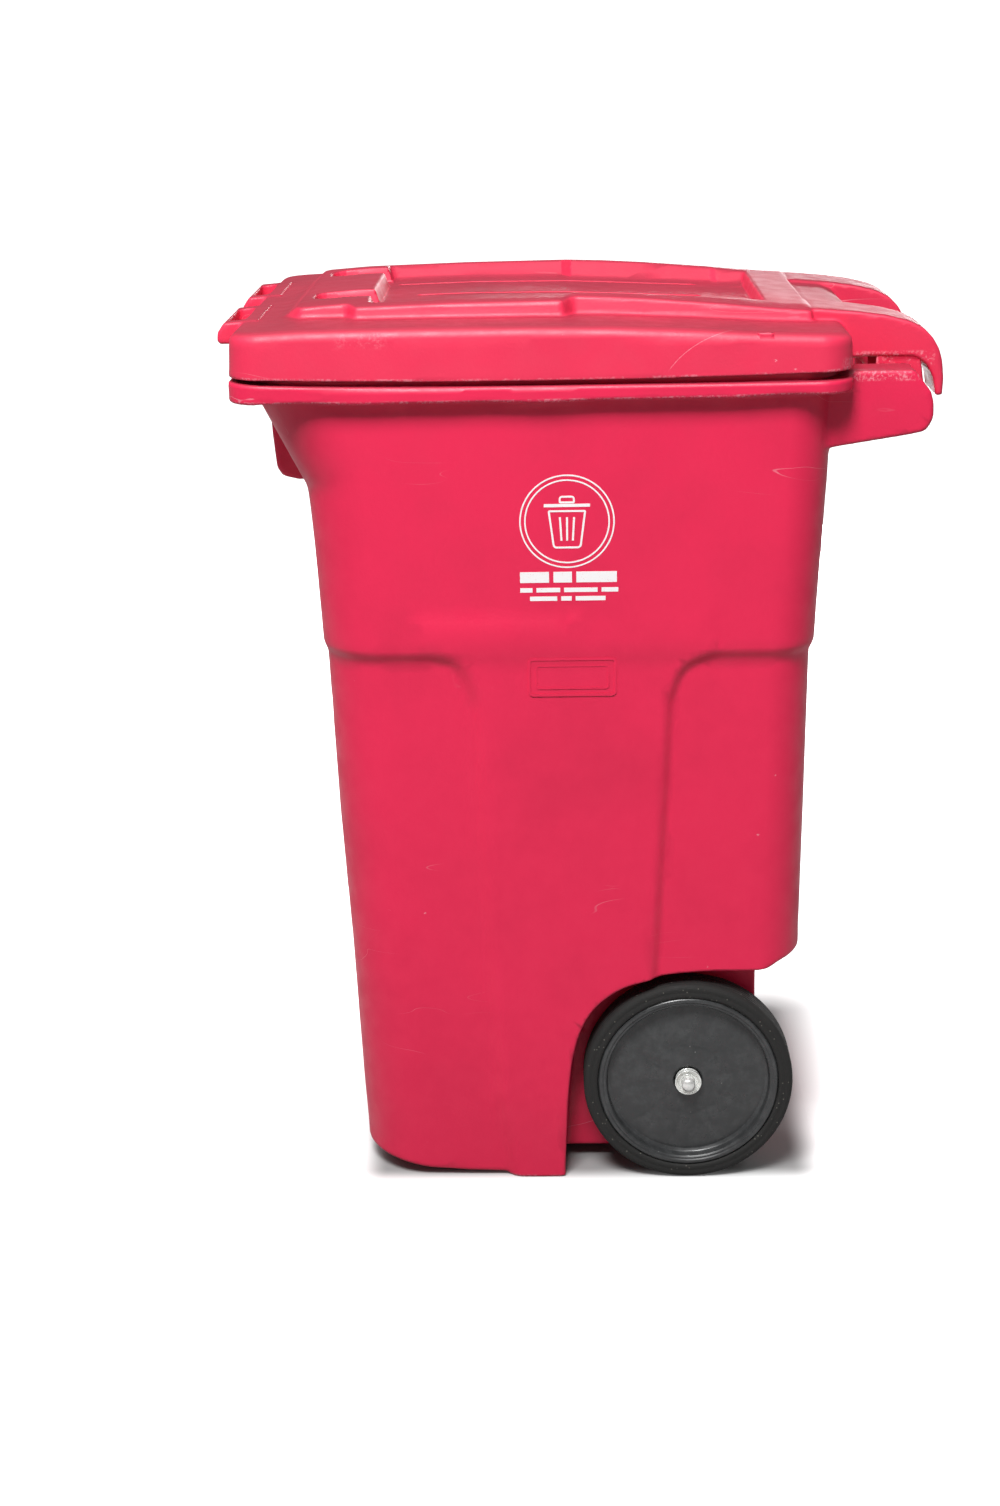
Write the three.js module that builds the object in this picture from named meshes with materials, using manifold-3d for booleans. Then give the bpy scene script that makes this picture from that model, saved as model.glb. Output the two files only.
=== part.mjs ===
// Two-wheeled lidded waste bin: a hollow moulded body with a hinged lid, two
// wheels on a steel axle and a rolling lift bar at the front.
// Millimetres. +Z is up, the front faces -Y, and the hinge and the wheels are at +Y.
// The origin is on the floor, halfway across the width and 2.5 mm behind the middle
// of the whole object's depth, because the pull loops reach that much further forward.

import * as THREE from 'three';
import { mergeVertices } from 'three/addons/utils/BufferGeometryUtils.js';
import Module from 'manifold-3d';

const wasm = await Module();
wasm.setup();

// ---------------------------------------------------------------- dimensions

const WALL = 5;              // moulded wall of body and lid
const GAP = 0.3;             // between pieces that touch

const RIM_HALF = 308;        // rim and lid, half width
const RIM_FRONT = -397;
const RIM_BACK = 299.5;
const RIM_BOTTOM = 964;
const RIM_TOP = 988;
const LIP_TOP = 1004;        // inner lip that the lid closes over

const FOOT_HALF = 266;       // side wall at the floor
const SIDE_TAPER = 0.026;    // how far the side wall leans out per mm of height
const PANEL_DEPTH = 7;       // corner panels below the ledge sit in this far
const LEDGE = 668;           // height of the ledge round the body
const FRONT_CORNER = 76;
const REAR_CORNER = 52;

const AXLE_Y = 120.5;
const AXLE_RADIUS = 7.94;    // 5/8 inch rod
const AXLE_END = 281;
const WHEEL_RADIUS = 127;    // 10 inch wheel
const WHEEL_OUTER = 270;
const WHEEL_INNER = 223;
const TREAD_INNER = 110;     // where the tyre sits on its rim
const WELL_WALL = 212;       // inner wall of the wheel wells
const BUSH_RADIUS = 12;      // bore in the body that takes the axle bushes
const UNDERSIDE = 17;        // height of the bottom between the wheels

const HINGE_Y = 365;
const HINGE_Z = 957;
const BAR_RADIUS = 16;       // moulded hand bar between the ears
const EAR_INNER = 205;
const EAR_OUTER = 262;
const ARM_INNER = 105;
const ARM_OUTER = 195;
const PIN_RADIUS = 4.5;      // keeper pin behind and below the hand bar
const PIN_Y = HINGE_Y + 18;
const PIN_Z = HINGE_Z - 19;

const LIFT_Y = -274;
const LIFT_Z = 530;
const LIFT_RADIUS = 12.7;    // 1 inch rod
const LIFT_HALF = 148;
const POCKET_HALF = 125;     // recess in front of which the lift bar lies

const LID_BOTTOM = 992.5;
const LID_TOP = 1040;        // flat shoulder round the raised panel

const STEPS = 4;             // segments in a quarter of a rounded corner
const ROUND = 24;            // sides of a round piece
const PIN_SIDES = 16;
const WHEEL_SIDES = 40;

// ------------------------------------------------------------ solids by hand

function solid(geometry) {
  const bare = geometry.clone();
  bare.deleteAttribute('normal');
  bare.deleteAttribute('uv');
  const merged = mergeVertices(bare, 1e-4);
  const mesh = new wasm.Mesh({
    numProp: 3,
    vertProperties: new Float32Array(merged.attributes.position.array),
    triVerts: new Uint32Array(merged.index.array),
  });
  return new wasm.Manifold(mesh);
}

function geometryOf(shape) {
  const mesh = shape.getMesh();
  const geometry = new THREE.BufferGeometry();
  geometry.setAttribute('position', new THREE.BufferAttribute(mesh.vertProperties, 3));
  geometry.setIndex(new THREE.BufferAttribute(mesh.triVerts, 1));
  geometry.computeVertexNormals();
  return geometry;
}

function join(...shapes) {
  return shapes.reduce((all, shape) => all.add(shape));
}

// Drops the slivers that two nearly touching faces leave behind.
function largest(shape) {
  return shape.decompose().reduce((best, piece) => (
    piece.volume() > best.volume() ? piece : best
  ));
}

function mirrored(shape) {
  return shape.mirror([1, 0, 0]);
}

function bothSides(shape) {
  return join(shape, mirrored(shape));
}

function box(x0, x1, y0, y1, z0, z1) {
  const geometry = new THREE.BoxGeometry(x1 - x0, y1 - y0, z1 - z0);
  geometry.translate((x0 + x1) / 2, (y0 + y1) / 2, (z0 + z1) / 2);
  return solid(geometry);
}

// A closed outline of [y, z] points, pulled out along X.
function alongX(outline, x0, x1) {
  const shape = new THREE.Shape(outline.map(([y, z]) => new THREE.Vector2(y, z)));
  const geometry = new THREE.ExtrudeGeometry(shape, { depth: x1 - x0, bevelEnabled: false });
  const turn = new THREE.Matrix4().makeBasis(
    new THREE.Vector3(0, 1, 0),
    new THREE.Vector3(0, 0, 1),
    new THREE.Vector3(1, 0, 0),
  );
  geometry.applyMatrix4(turn);
  geometry.translate(x0, 0, 0);
  return solid(geometry);
}

// A closed outline of [x, y] points, pulled up along Z.
function alongZ(outline, z0, z1) {
  const shape = new THREE.Shape(outline.map(([x, y]) => new THREE.Vector2(x, y)));
  const geometry = new THREE.ExtrudeGeometry(shape, { depth: z1 - z0, bevelEnabled: false });
  geometry.translate(0, 0, z0);
  return solid(geometry);
}

// A closed outline turned round a line along X through (y, z): the points are
// [radius, x], and go round so that the solid is on their left.
function turned(outline, y, z, sides = ROUND) {
  const points = [...outline, outline[0]].map(([radius, x]) => new THREE.Vector2(radius, x));
  const geometry = new THREE.LatheGeometry(points, sides);
  const turn = new THREE.Matrix4().makeBasis(
    new THREE.Vector3(0, 0, 1),
    new THREE.Vector3(1, 0, 0),
    new THREE.Vector3(0, 1, 0),
  );
  geometry.applyMatrix4(turn);
  geometry.translate(0, y, z);
  return solid(geometry);
}

function rod(radius, x0, x1, y, z, sides = ROUND) {
  const geometry = new THREE.CylinderGeometry(radius, radius, x1 - x0, sides);
  geometry.rotateZ(-Math.PI / 2);
  geometry.translate((x0 + x1) / 2, y, z);
  return solid(geometry);
}

function sleeve(inner, outer, x0, x1, y, z, sides = ROUND) {
  return rod(outer, x0, x1, y, z, sides).subtract(rod(inner, x0 - 1, x1 + 1, y, z, sides));
}

// Moves every side of a convex outline inwards by a distance.
function shrunk(outline, distance) {
  const count = outline.length;
  const twiceArea = outline.reduce((sum, [a, b], i) => {
    const [c, d] = outline[(i + 1) % count];
    return sum + a * d - c * b;
  }, 0);
  const inward = Math.sign(twiceArea) * distance;
  const sides = outline.map(([a, b], i) => {
    const [c, d] = outline[(i + 1) % count];
    const length = Math.hypot(c - a, d - b);
    const normal = [-(d - b) / length, (c - a) / length];
    return { normal, offset: normal[0] * a + normal[1] * b + inward };
  });
  return sides.map((side, i) => {
    const before = sides[(i + count - 1) % count];
    const [p, q] = before.normal;
    const [r, s] = side.normal;
    const cross = p * s - q * r;
    return [
      (before.offset * s - side.offset * q) / cross,
      (side.offset * p - before.offset * r) / cross,
    ];
  });
}

// One level of a hollow: a rectangle with its own front and back corner radii.
function level(z, half, front, back, frontCorner, backCorner, inset = 0) {
  const ring = [];
  const corners = [
    [1, front + inset, frontCorner, -90],
    [1, back - inset, backCorner, 0],
    [-1, back - inset, backCorner, 90],
    [-1, front + inset, frontCorner, 180],
  ];
  for (const [side, edge, corner, start] of corners) {
    const radius = Math.max(corner - inset, 1);
    const toMiddle = edge === front + inset ? 1 : -1;
    const x = side * (half - inset - radius);
    const y = edge + toMiddle * radius;
    for (let i = 0; i <= STEPS; i += 1) {
      const angle = THREE.MathUtils.degToRad(start + (90 * i) / STEPS);
      ring.push([x + radius * Math.cos(angle), y + radius * Math.sin(angle), z]);
    }
  }
  return ring;
}

// Joins levels with equal numbers of points into one closed solid.
function stacked(levels) {
  const count = levels[0].length;
  const positions = levels.flat(2);
  const index = [];
  const middles = [levels[0], levels[levels.length - 1]].map((ring) => {
    const sum = ring.reduce((all, point) => all.map((value, k) => value + point[k]), [0, 0, 0]);
    positions.push(...sum.map((value) => value / count));
    return positions.length / 3 - 1;
  });
  for (let i = 0; i < count; i += 1) {
    const next = (i + 1) % count;
    for (let row = 0; row + 1 < levels.length; row += 1) {
      const low = row * count;
      const high = low + count;
      index.push(low + i, low + next, high + next, low + i, high + next, high + i);
    }
    const top = (levels.length - 1) * count;
    index.push(middles[0], next, i, middles[1], top + i, top + next);
  }
  const geometry = new THREE.BufferGeometry();
  geometry.setAttribute('position', new THREE.Float32BufferAttribute(positions, 3));
  geometry.setIndex(index);
  return solid(geometry);
}

// --------------------------------------------------------------------- body
// Each part of the body's outer shape takes an inset: 0 gives the outside and
// WALL gives the hollow inside it, so that the wall is even everywhere.

function sideAt(z) {
  return FOOT_HALF + SIDE_TAPER * z;
}

// Below the ledge: height, front, back. The bottom rises a little to the front,
// and behind the feet only the middle box between the wheels goes down.
const LOWER = [
  [0, -92, -30],
  [3.2, -112, 60],
  [9.6, -197, 170],
  [16, -236, 196],
  [21, -262, 201],
  [27, -275.5, 203],
  [60, -278, 204],
  [104, -280, 204],
  [266, -286.2, 204.5],
  [279, -287, 231],
  [289, -287.5, 255.2],
  [462, -296.5, 258],
  [LEDGE - 6, -303.2, 260.8],
  [LEDGE + 8, -305.5, 264],
];

// Above the ledge: height, front, back.
const UPPER = [
  [LEDGE - 4, -303.7, 261.2],
  [LEDGE + 8, -307, 265],
  [LEDGE + 22, -309, 266.8],
  [780, -312, 272],
  [855, -318, 276.2],
  [890, -334, 278],
  [924, -351, 279.5],
  [RIM_BOTTOM, -373, 281],
];

function lowerBody(inset) {
  const rows = LOWER.map(([z, front, back]) => {
    const half = sideAt(z) - PANEL_DEPTH;
    return level(z + inset, half, front, back, FRONT_CORNER, REAR_CORNER, inset);
  });
  const feet = LOWER[0];
  rows[0] = level(inset, sideAt(0) - PANEL_DEPTH, feet[1], feet[2], 28, 8, inset);
  return stacked(rows);
}

function upperBody(inset) {
  const rows = UPPER.map(([z, front, back]) => (
    level(z, sideAt(z) + flare(z), front, back, FRONT_CORNER, REAR_CORNER, inset)
  ));
  const lipTop = inset > 0 ? LIP_TOP + 20 : LIP_TOP;
  rows.push(level(RIM_TOP - 1, 298, -383.5, 282, 62, 46, inset));
  rows.push(level(lipTop, 298, -383.5, 282, 62, 46, inset));
  return stacked(rows);
}

function flare(z) {
  return Math.max(0, (z - 924) * 0.12);
}

// The flush strip down each side, between the front and rear panels, that ends
// in the foot: height, front, back.
function pilasters(inset) {
  const rows = [[0, -92, -30], [24, -103, 100], [104, -114, 100], [364, -128, 87]];
  rows.push([LEDGE - 40, -134, 99], [LEDGE + 12, -150, 118]);
  return stacked(rows.map(([z, front, back]) => (
    level(z + inset, sideAt(z), front, back, 12, 12, inset)
  )));
}

function rim(inset) {
  const low = level(RIM_BOTTOM + inset, RIM_HALF - 2, RIM_FRONT + 2, RIM_BACK - 2, 36, 36, inset);
  const edge = level(RIM_BOTTOM + 2 + inset, RIM_HALF, RIM_FRONT, RIM_BACK, 38, 38, inset);
  const high = level(RIM_TOP - inset, RIM_HALF, RIM_FRONT, RIM_BACK, 38, 38, inset);
  return stacked([low, edge, high]);
}

// The rim is cut back between the ears, to leave the lid's arms room to swing.
function armRelief(inset) {
  return box(-EAR_INNER - inset, EAR_INNER + inset, 285 - inset, 340, 940, LIP_TOP + 30);
}

const WELL = [
  [-29.5, -30], [-29.5, 14], [-25.5, 102], [-20.5, 155], [-11, 194], [6, 226],
  [38.5, 252], [92.5, 266], [134.5, 270], [340, 270], [340, -30],
];

function wheelWells(inset) {
  return bothSides(alongX(shrunk(WELL, -inset), WELL_WALL - inset, 330));
}

// The middle of the underside stands clear of the floor, between the feet and
// all the way across behind them.
function underside(inset) {
  const top = UNDERSIDE + inset;
  const behindFeet = WELL[0][0] - inset;
  return join(
    box(-EAR_INNER - inset, EAR_INNER + inset, -130 - inset, 300, -20, top),
    box(-WELL_WALL - inset - 1, WELL_WALL + inset + 1, behindFeet, 300, -20, top),
  );
}

const EAR = [
  [250, 896], [275.5, 900], [360.5, 913], [382.5, 917], [392.5, 931],
  [392.5, 948], [391.5, 959], [380.5, 974], [369.5, RIM_TOP], [250, RIM_TOP],
];

function ears(inset) {
  return bothSides(alongX(shrunk(EAR, inset), EAR_INNER + inset, EAR_OUTER - inset));
}

function handBar(inset) {
  const reach = EAR_INNER + 2 * WALL;
  return rod(BAR_RADIUS - inset, -reach, reach, HINGE_Y, HINGE_Z);
}

function axleTunnel(inset) {
  return rod(BUSH_RADIUS + inset, -WELL_WALL - 2, WELL_WALL + 2, AXLE_Y, WHEEL_RADIUS);
}

const LIFT_RECESS = [[-320, 468], [-244, 478], [-244, 582], [-320, 592]];

function liftRecess(inset) {
  const recess = alongX(shrunk(LIFT_RECESS, -inset), -POCKET_HALF - inset, POCKET_HALF + inset);
  const reach = LIFT_HALF + 2 + inset;
  return join(recess, rod(16 + inset, -reach, reach, LIFT_Y, LIFT_Z));
}

function bodyShape(inset) {
  return join(
    lowerBody(inset), upperBody(inset), pilasters(inset),
    rim(inset).subtract(armRelief(inset)), ears(inset), handBar(inset),
  )
    .subtract(wheelWells(inset))
    .subtract(underside(inset))
    .subtract(axleTunnel(inset))
    .subtract(liftRecess(inset));
}

// The lift saddle: a plate and two cheeks under the front rim, open below.
function saddle() {
  const outline = [
    [-300, 846], [-339.5, 846], [-358, 851], [-365, 861],
    [-368, 900], [-371, RIM_BOTTOM + 1], [-300, RIM_BOTTOM + 1],
  ];
  const block = alongX(outline, -118, 118);
  const pocket = alongX([[-290, 830], [-358, 830], [-362, 930], [-290, 930]], -111, 111);
  return block.subtract(pocket);
}

function bodyShell() {
  const outer = bodyShape(0);
  const shell = outer.subtract(bodyShape(WALL));
  return largest(join(shell, saddle().subtract(outer)));
}

// ---------------------------------------------------------------------- lid

function lidPlate(inset) {
  const bottom = inset > 0 ? LID_BOTTOM - 20 : LID_BOTTOM;
  return stacked([
    level(bottom, RIM_HALF, RIM_FRONT + 1, RIM_BACK, 38, 38, inset),
    level(1026, RIM_HALF - 1.5, RIM_FRONT + 3, RIM_BACK - 2, 38, 38, inset),
    level(LID_TOP - 4, RIM_HALF - 5, RIM_FRONT + 7, RIM_BACK - 6, 36, 36, inset),
    level(LID_TOP - inset, RIM_HALF - 13, RIM_FRONT + 15, RIM_BACK - 14, 32, 32, inset),
  ]);
}

// Raised border round the sunk panel, half outline from front to back.
const BORDER = [
  [205, -322], [205, -268], [226, -258], [226, -20], [205, -10], [205, 258],
];
const CROWN = [
  [-344, LID_TOP - 8], [-322, 1058.5], [-268, 1062.5], [-143, 1065.8], [-14, 1066.5],
  [80, 1062], [160, 1055.5], [213, 1051], [258, 1048], [264, LID_TOP - 8],
];

function border(inset) {
  const front = [172, -343];
  const right = [front, ...BORDER].map(([x, y]) => [x - inset, y]);
  const left = right.map(([x, y]) => [-x, y]).reverse();
  return alongZ([...right, ...left], LID_TOP - 20, 1080)
    .intersect(alongX(shrunk(CROWN, inset), -RIM_HALF, RIM_HALF));
}

const PANEL_FRONT = -239;
const PANEL_BACK = 212.5;
const PANEL_STEP = -15;        // where the panel and its border narrow
const PANEL_HALF = [182, 157]; // half width of the floor, in front of the step and behind it
const PANEL_SLOPE = 2;         // the sides lean out this far per mm of height

// The sunk panel and the two pockets beside the front tongue.
function sunkPanel(inset) {
  const floor = [[PANEL_FRONT - 90, 1043], [-14, 1049.5], [PANEL_BACK + 20, 1039]];
  const air = alongX([...floor.map(([y, z]) => [y, z - inset]), [PANEL_BACK + 20, 1090],
    [PANEL_FRONT - 90, 1090]], -RIM_HALF, RIM_HALF);
  const lean = inset * Math.hypot(1, PANEL_SLOPE);
  const trough = (half, front, back) => stacked([1030, 1090].map((z) => (
    level(z, half + PANEL_SLOPE * (z - 1048) + lean, front - inset, back + inset, 4, 4)
  )));
  const middle = join(
    trough(PANEL_HALF[0], PANEL_FRONT, PANEL_STEP),
    trough(PANEL_HALF[1], PANEL_STEP - 20, PANEL_BACK),
  );
  const fingers = alongZ(shrunk([
    [92, PANEL_FRONT + 10], [92, -292], [104, -307], [138, -307], [150, -292],
    [150, PANEL_FRONT + 10],
  ], -inset), 1000, 1090);
  return join(middle, bothSides(fingers)).intersect(air);
}

const ARM_TOP = [
  [200, 1046], [262.5, 1048.5], [313.5, 1044], [345, 1040], [372.5, 1033], [388, 1025],
  [399.5, 1013], [407, 1000], [410.5, 987], [412.5, 967], [410.5, 948],
];
const ARM_UNDER = [
  [403.5, 948], [400, 967], [393.5, 982], [386, 989], [379.5, 991],
  [326.5, 992], [303, LID_BOTTOM], [290, 1006], [200, 1030],
];

function arms() {
  return bothSides(alongX([...ARM_TOP, ...ARM_UNDER], ARM_INNER, ARM_OUTER));
}

// The space inside an arm, open below.
function armHollows() {
  const roof = ARM_TOP.slice(1).map(([y, z], i, all) => {
    const [a, b] = all[Math.max(i - 1, 0)];
    const [c, d] = all[Math.min(i + 1, all.length - 1)];
    const length = Math.hypot(c - a, d - b);
    return [y + (WALL * (d - b)) / length, z - (WALL * (c - a)) / length];
  });
  const outline = [[230, 1000], [230, LID_TOP - WALL], ...roof, [403, 930], [320, 930]];
  return bothSides(alongX(outline, ARM_INNER + WALL, ARM_OUTER - WALL));
}

// Two knuckles in each arm drop over the hand bar. The keeper pin lies across
// the mouth of their slots, so that the lid can't lift off.
const KNUCKLES = [[ARM_INNER + 2, ARM_INNER + 10], [ARM_OUTER - 10, ARM_OUTER - 2]];
const KNUCKLE = [
  [334, 1030], [336, 942], [341, 934], [385, 927],
  [391, 933], [391.5, 950], [388, 975], [379, 1030],
];

function knuckles() {
  const clearance = BAR_RADIUS + 0.6;
  const plates = join(...KNUCKLES.map(([x0, x1]) => alongX(KNUCKLE, x0, x1)));
  const slot = box(0, RIM_HALF, HINGE_Y - clearance, HINGE_Y + clearance, 900, HINGE_Z);
  return bothSides(plates
    .subtract(slot)
    .subtract(rod(clearance, 0, RIM_HALF, HINGE_Y, HINGE_Z))
    .subtract(rod(PIN_RADIUS + GAP, 0, RIM_HALF, PIN_Y, PIN_Z, PIN_SIDES)));
}

// Pull loops at the front edge: the slot lies between the loop and the skirt.
function lugs() {
  const outline = [
    [-375, 1019], [-414, 1019], [-417.5, 1022], [-416.5, 1031],
    [-409, 1043], [-375, 1045],
  ];
  const loop = alongX(outline, 50, 198);
  const slot = alongZ([
    [76, -407], [172, -407], [180, -403], [180, -390],
    [172, -385], [76, -385], [68, -390], [68, -403],
  ], 1000, 1060);
  return bothSides(loop.subtract(slot));
}

// Blocks under the lid that rest on the body's lip.
function restPads() {
  const pads = [-260, 0, 200].map((y) => (
    box(292, 304, y - 9, y + 9, LIP_TOP + GAP, LID_TOP - WALL + 1)
  ));
  return bothSides(join(...pads));
}

function ribs() {
  const rails = [
    [0, -199, 148], [120, -229, 148], [-120, -229, 148],
  ].map(([x, front, back]) => alongX([
    [front, 1044], [front + 6, 1050], [-14, 1051.5], [back - 6, 1044.8], [back, 1040],
  ], x - 2, x + 2));
  return join(...rails);
}

function lidShell() {
  const outer = join(lidPlate(0), border(0)).subtract(sunkPanel(0));
  const inner = join(lidPlate(WALL), border(WALL)).subtract(sunkPanel(WALL));
  const hollows = join(inner, armHollows());
  const skin = join(outer, arms(), lugs().subtract(inner)).subtract(hollows);
  return join(skin, knuckles().subtract(outer.subtract(inner)), ribs(), restPads());
}

// ------------------------------------------------------------------- wheels

function tyre() {
  return turned([
    [TREAD_INNER, WHEEL_INNER + 3], [116, WHEEL_INNER], [122, WHEEL_INNER + 0.6],
    [126, WHEEL_INNER + 4], [WHEEL_RADIUS, WHEEL_INNER + 9], [WHEEL_RADIUS, WHEEL_OUTER - 9],
    [126, WHEEL_OUTER - 4], [122, WHEEL_OUTER - 0.6], [116, WHEEL_OUTER],
    [TREAD_INNER, WHEEL_OUTER - 2],
  ], AXLE_Y, WHEEL_RADIUS, WHEEL_SIDES);
}

const HUB_BORE = 11.7;

// Dished disc with a rolled rim, a boss round the axle and a barrel under the tyre.
function hub() {
  const outer = TREAD_INNER - GAP;
  return turned([
    [HUB_BORE, 219], [22, 219], [24, 254], [94, 247], [97, WHEEL_INNER + 4],
    [outer, WHEEL_INNER + 4], [outer, 266], [106, 269], [101, 267.5], [98.5, 256],
    [94, 255], [17, 261.5], [17, 258], [HUB_BORE, 258],
  ], AXLE_Y, WHEEL_RADIUS, WHEEL_SIDES);
}

function axle() {
  const end = AXLE_END;
  const r = AXLE_RADIUS;
  return turned([
    [0, -end], [5, -end + 0.8], [r, -end + 3.5], [r, end - 3.5], [5, end - 0.8], [0, end],
  ], AXLE_Y, WHEEL_RADIUS);
}

// Nylon bush pressed into the body, with a flange in the wheel well.
function axleBush() {
  const inner = AXLE_RADIUS + GAP;
  const body = BUSH_RADIUS - GAP;
  return turned([
    [inner, 178], [body, 178], [body, WELL_WALL + GAP], [17, WELL_WALL + GAP],
    [17, WELL_WALL + 3], [inner, WELL_WALL + 3],
  ], AXLE_Y, WHEEL_RADIUS);
}

function innerWasher() {
  return sleeve(AXLE_RADIUS + GAP, 16, WELL_WALL + 3.3, 218.6, AXLE_Y, WHEEL_RADIUS);
}

function hubSleeve() {
  return sleeve(AXLE_RADIUS + GAP, HUB_BORE - GAP, 219.4, 258, AXLE_Y, WHEEL_RADIUS);
}

function outerWasher() {
  return sleeve(AXLE_RADIUS + GAP, 15, 258.4, 261, AXLE_Y, WHEEL_RADIUS);
}

// Push-on cup that holds the wheel on the axle.
function axleCap() {
  const inner = AXLE_RADIUS + GAP;
  return turned([
    [inner, 261.4], [13, 261.4], [16, 266], [16, 270], [14.8, 270], [13.4, 266.6],
    [11, 265.4], [inner, 265.4],
  ], AXLE_Y, WHEEL_RADIUS);
}

// ------------------------------------------------------- hinge and lift bar

function hingePin() {
  return turned([
    [0, 98.5], [6, 98.5], [6, 102.5], [PIN_RADIUS, 104.5], [PIN_RADIUS, 200],
    [PIN_RADIUS - 1.5, 202], [0, 202],
  ], PIN_Y, PIN_Z, PIN_SIDES);
}

// Push nut on the end of the hinge pin.
function pinNut() {
  return sleeve(PIN_RADIUS + GAP, 7, ARM_OUTER + 0.5, 198.5, PIN_Y, PIN_Z, PIN_SIDES);
}

function liftBar() {
  const r = LIFT_RADIUS;
  const end = LIFT_HALF - 1;
  return turned([
    [0, -end], [r - 2, -end], [r, -end + 2], [r, end - 2], [r - 2, end], [0, end],
  ], LIFT_Y, LIFT_Z);
}

function liftBush() {
  return sleeve(LIFT_RADIUS + GAP, 15.6, POCKET_HALF + 1, LIFT_HALF - 2, LIFT_Y, LIFT_Z);
}

// ----------------------------------------------------------------- assembly

const PAINT = {
  body: { color: 0xd0213f, roughness: 0.55, metalness: 0 },
  hub: { color: 0x2c2e30, roughness: 0.35, metalness: 0 },
  tyre: { color: 0x1b1c1b, roughness: 0.9, metalness: 0 },
  steel: { color: 0xb9bdc0, roughness: 0.35, metalness: 1 },
  zinc: { color: 0xd2d4d2, roughness: 0.3, metalness: 1 },
  nylon: { color: 0x202224, roughness: 0.5, metalness: 0 },
};

const bin = new THREE.Group();

function add(name, shape, paint, parent = bin) {
  const mesh = new THREE.Mesh(geometryOf(shape), new THREE.MeshStandardMaterial(PAINT[paint]));
  mesh.name = name;
  parent.add(mesh);
}

function addPair(name, shape, paint) {
  add(`${name}_right`, shape, paint);
  add(`${name}_left`, mirrored(shape), paint);
}

add('body_shell', bodyShell(), 'body');
add('lid_shell', lidShell(), 'body');
addPair('hinge_pin', hingePin(), 'nylon');
addPair('hinge_pin_nut', pinNut(), 'zinc');
add('axle', axle(), 'steel');
addPair('axle_bush', axleBush(), 'nylon');
addPair('inner_washer', innerWasher(), 'zinc');
addPair('wheel_hub', hub(), 'hub');
addPair('tyre', tyre(), 'tyre');
addPair('hub_sleeve', hubSleeve(), 'nylon');
addPair('outer_washer', outerWasher(), 'zinc');
addPair('axle_cap', axleCap(), 'zinc');
add('lift_bar', liftBar(), 'steel');
addPair('lift_bar_bush', liftBush(), 'nylon');

export default bin;
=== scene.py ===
"""Looks of a two-wheeled lidded waste bin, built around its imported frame.

The frame's axes are kept: the front faces -Y, +Z is up, and the hinge and the
wheels are at +Y. Lengths here are millimetres, and MM turns them into Blender's
metres. Body and lid are moulded shells, so they are written as distance fields,
negative inside, and meshed where the field is zero: that gives every edge the
soft radius of a moulding. All other pieces are turned, swept or flat meshes.
"""

import bmesh
import bpy
import numpy as np
import openvdb
from mathutils import Matrix, Vector


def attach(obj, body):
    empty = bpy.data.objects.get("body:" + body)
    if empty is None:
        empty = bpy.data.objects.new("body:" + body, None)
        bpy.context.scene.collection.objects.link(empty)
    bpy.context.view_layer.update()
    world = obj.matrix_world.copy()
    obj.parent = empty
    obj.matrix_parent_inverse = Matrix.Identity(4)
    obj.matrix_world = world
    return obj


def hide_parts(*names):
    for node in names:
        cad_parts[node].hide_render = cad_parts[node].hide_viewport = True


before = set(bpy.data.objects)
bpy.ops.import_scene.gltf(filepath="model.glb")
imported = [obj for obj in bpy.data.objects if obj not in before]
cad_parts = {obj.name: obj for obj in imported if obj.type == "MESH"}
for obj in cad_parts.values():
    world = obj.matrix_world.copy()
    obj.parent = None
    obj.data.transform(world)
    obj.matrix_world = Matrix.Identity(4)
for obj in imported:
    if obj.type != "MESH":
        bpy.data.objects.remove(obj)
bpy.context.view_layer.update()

MM = 0.001
PITCH = 2.6      # voxel size of the body's outside
LID_PITCH = 2.0  # of the lid's outside
HOLLOW_PITCH = 5.0                      # and of the hollows inside both
FLATNESS = 0.03                         # how readily voxels on flat faces are joined
HOLLOW_FLATNESS = 0.06
NORMAL_STEP = 0.5                       # for slopes of the fields
EDGE_STEP = 1.4                         # and for telling how sharp an edge is
ARC_STEPS = 4                           # points in a rounded corner of an outline

# ---------------------------------------------------------------- dimensions

WALL = 5.0

RIM_HALF = 308.0
RIM_FRONT = -397.0
RIM_BACK = 299.5
LIP_HALF = 298.0
LIP_FRONT = -383.5
LIP_BACK = 282.0
LIP_FOOT = 972.0                        # where the lip starts inside the rim
LIP_TOP = 1004.0
RIM_CORNER = 38.0

FOOT_HALF = 266.0                       # half the width at the floor
SIDE_TAPER = 0.026                      # how much wider each side gets per mm of height
PANEL_DEPTH = 7.0                       # how far the lower walls lie behind the upper ones
LEDGE = 664.0                           # bottom of the upper walls
UPPER_TOP = 984.0                       # and their top
FRONT_CORNER = 76.0
REAR_CORNER = 52.0
CORNER_CHANGE = -20.0                   # Y where the front corners' radius gives way to the rear's

AXLE = (120.5, 127.0)                   # Y and Z of the wheels' axis
WELL_WALL = 212.0
UNDERSIDE = 17.0
FEET_FRONT = -130.0                     # Y where the gap between the feet starts
FEET_BACK = -29.5                       # and where the feet end
HINGE = (365.0, 957.0)
BAR_RADIUS = 16.0
EAR_INNER = 205.0
EAR_OUTER = 262.0
ARM_INNER = 105.0
ARM_OUTER = 195.0
PIN = (383.0, 938.0)
AXLE_BORE = 12.0                        # radii of the body's bores
LIFT = (-274.0, 530.0)
LIFT_BORE = 16.0
LIFT_BORE_END = 150.0
RECESS_HALF = 125.0

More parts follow.
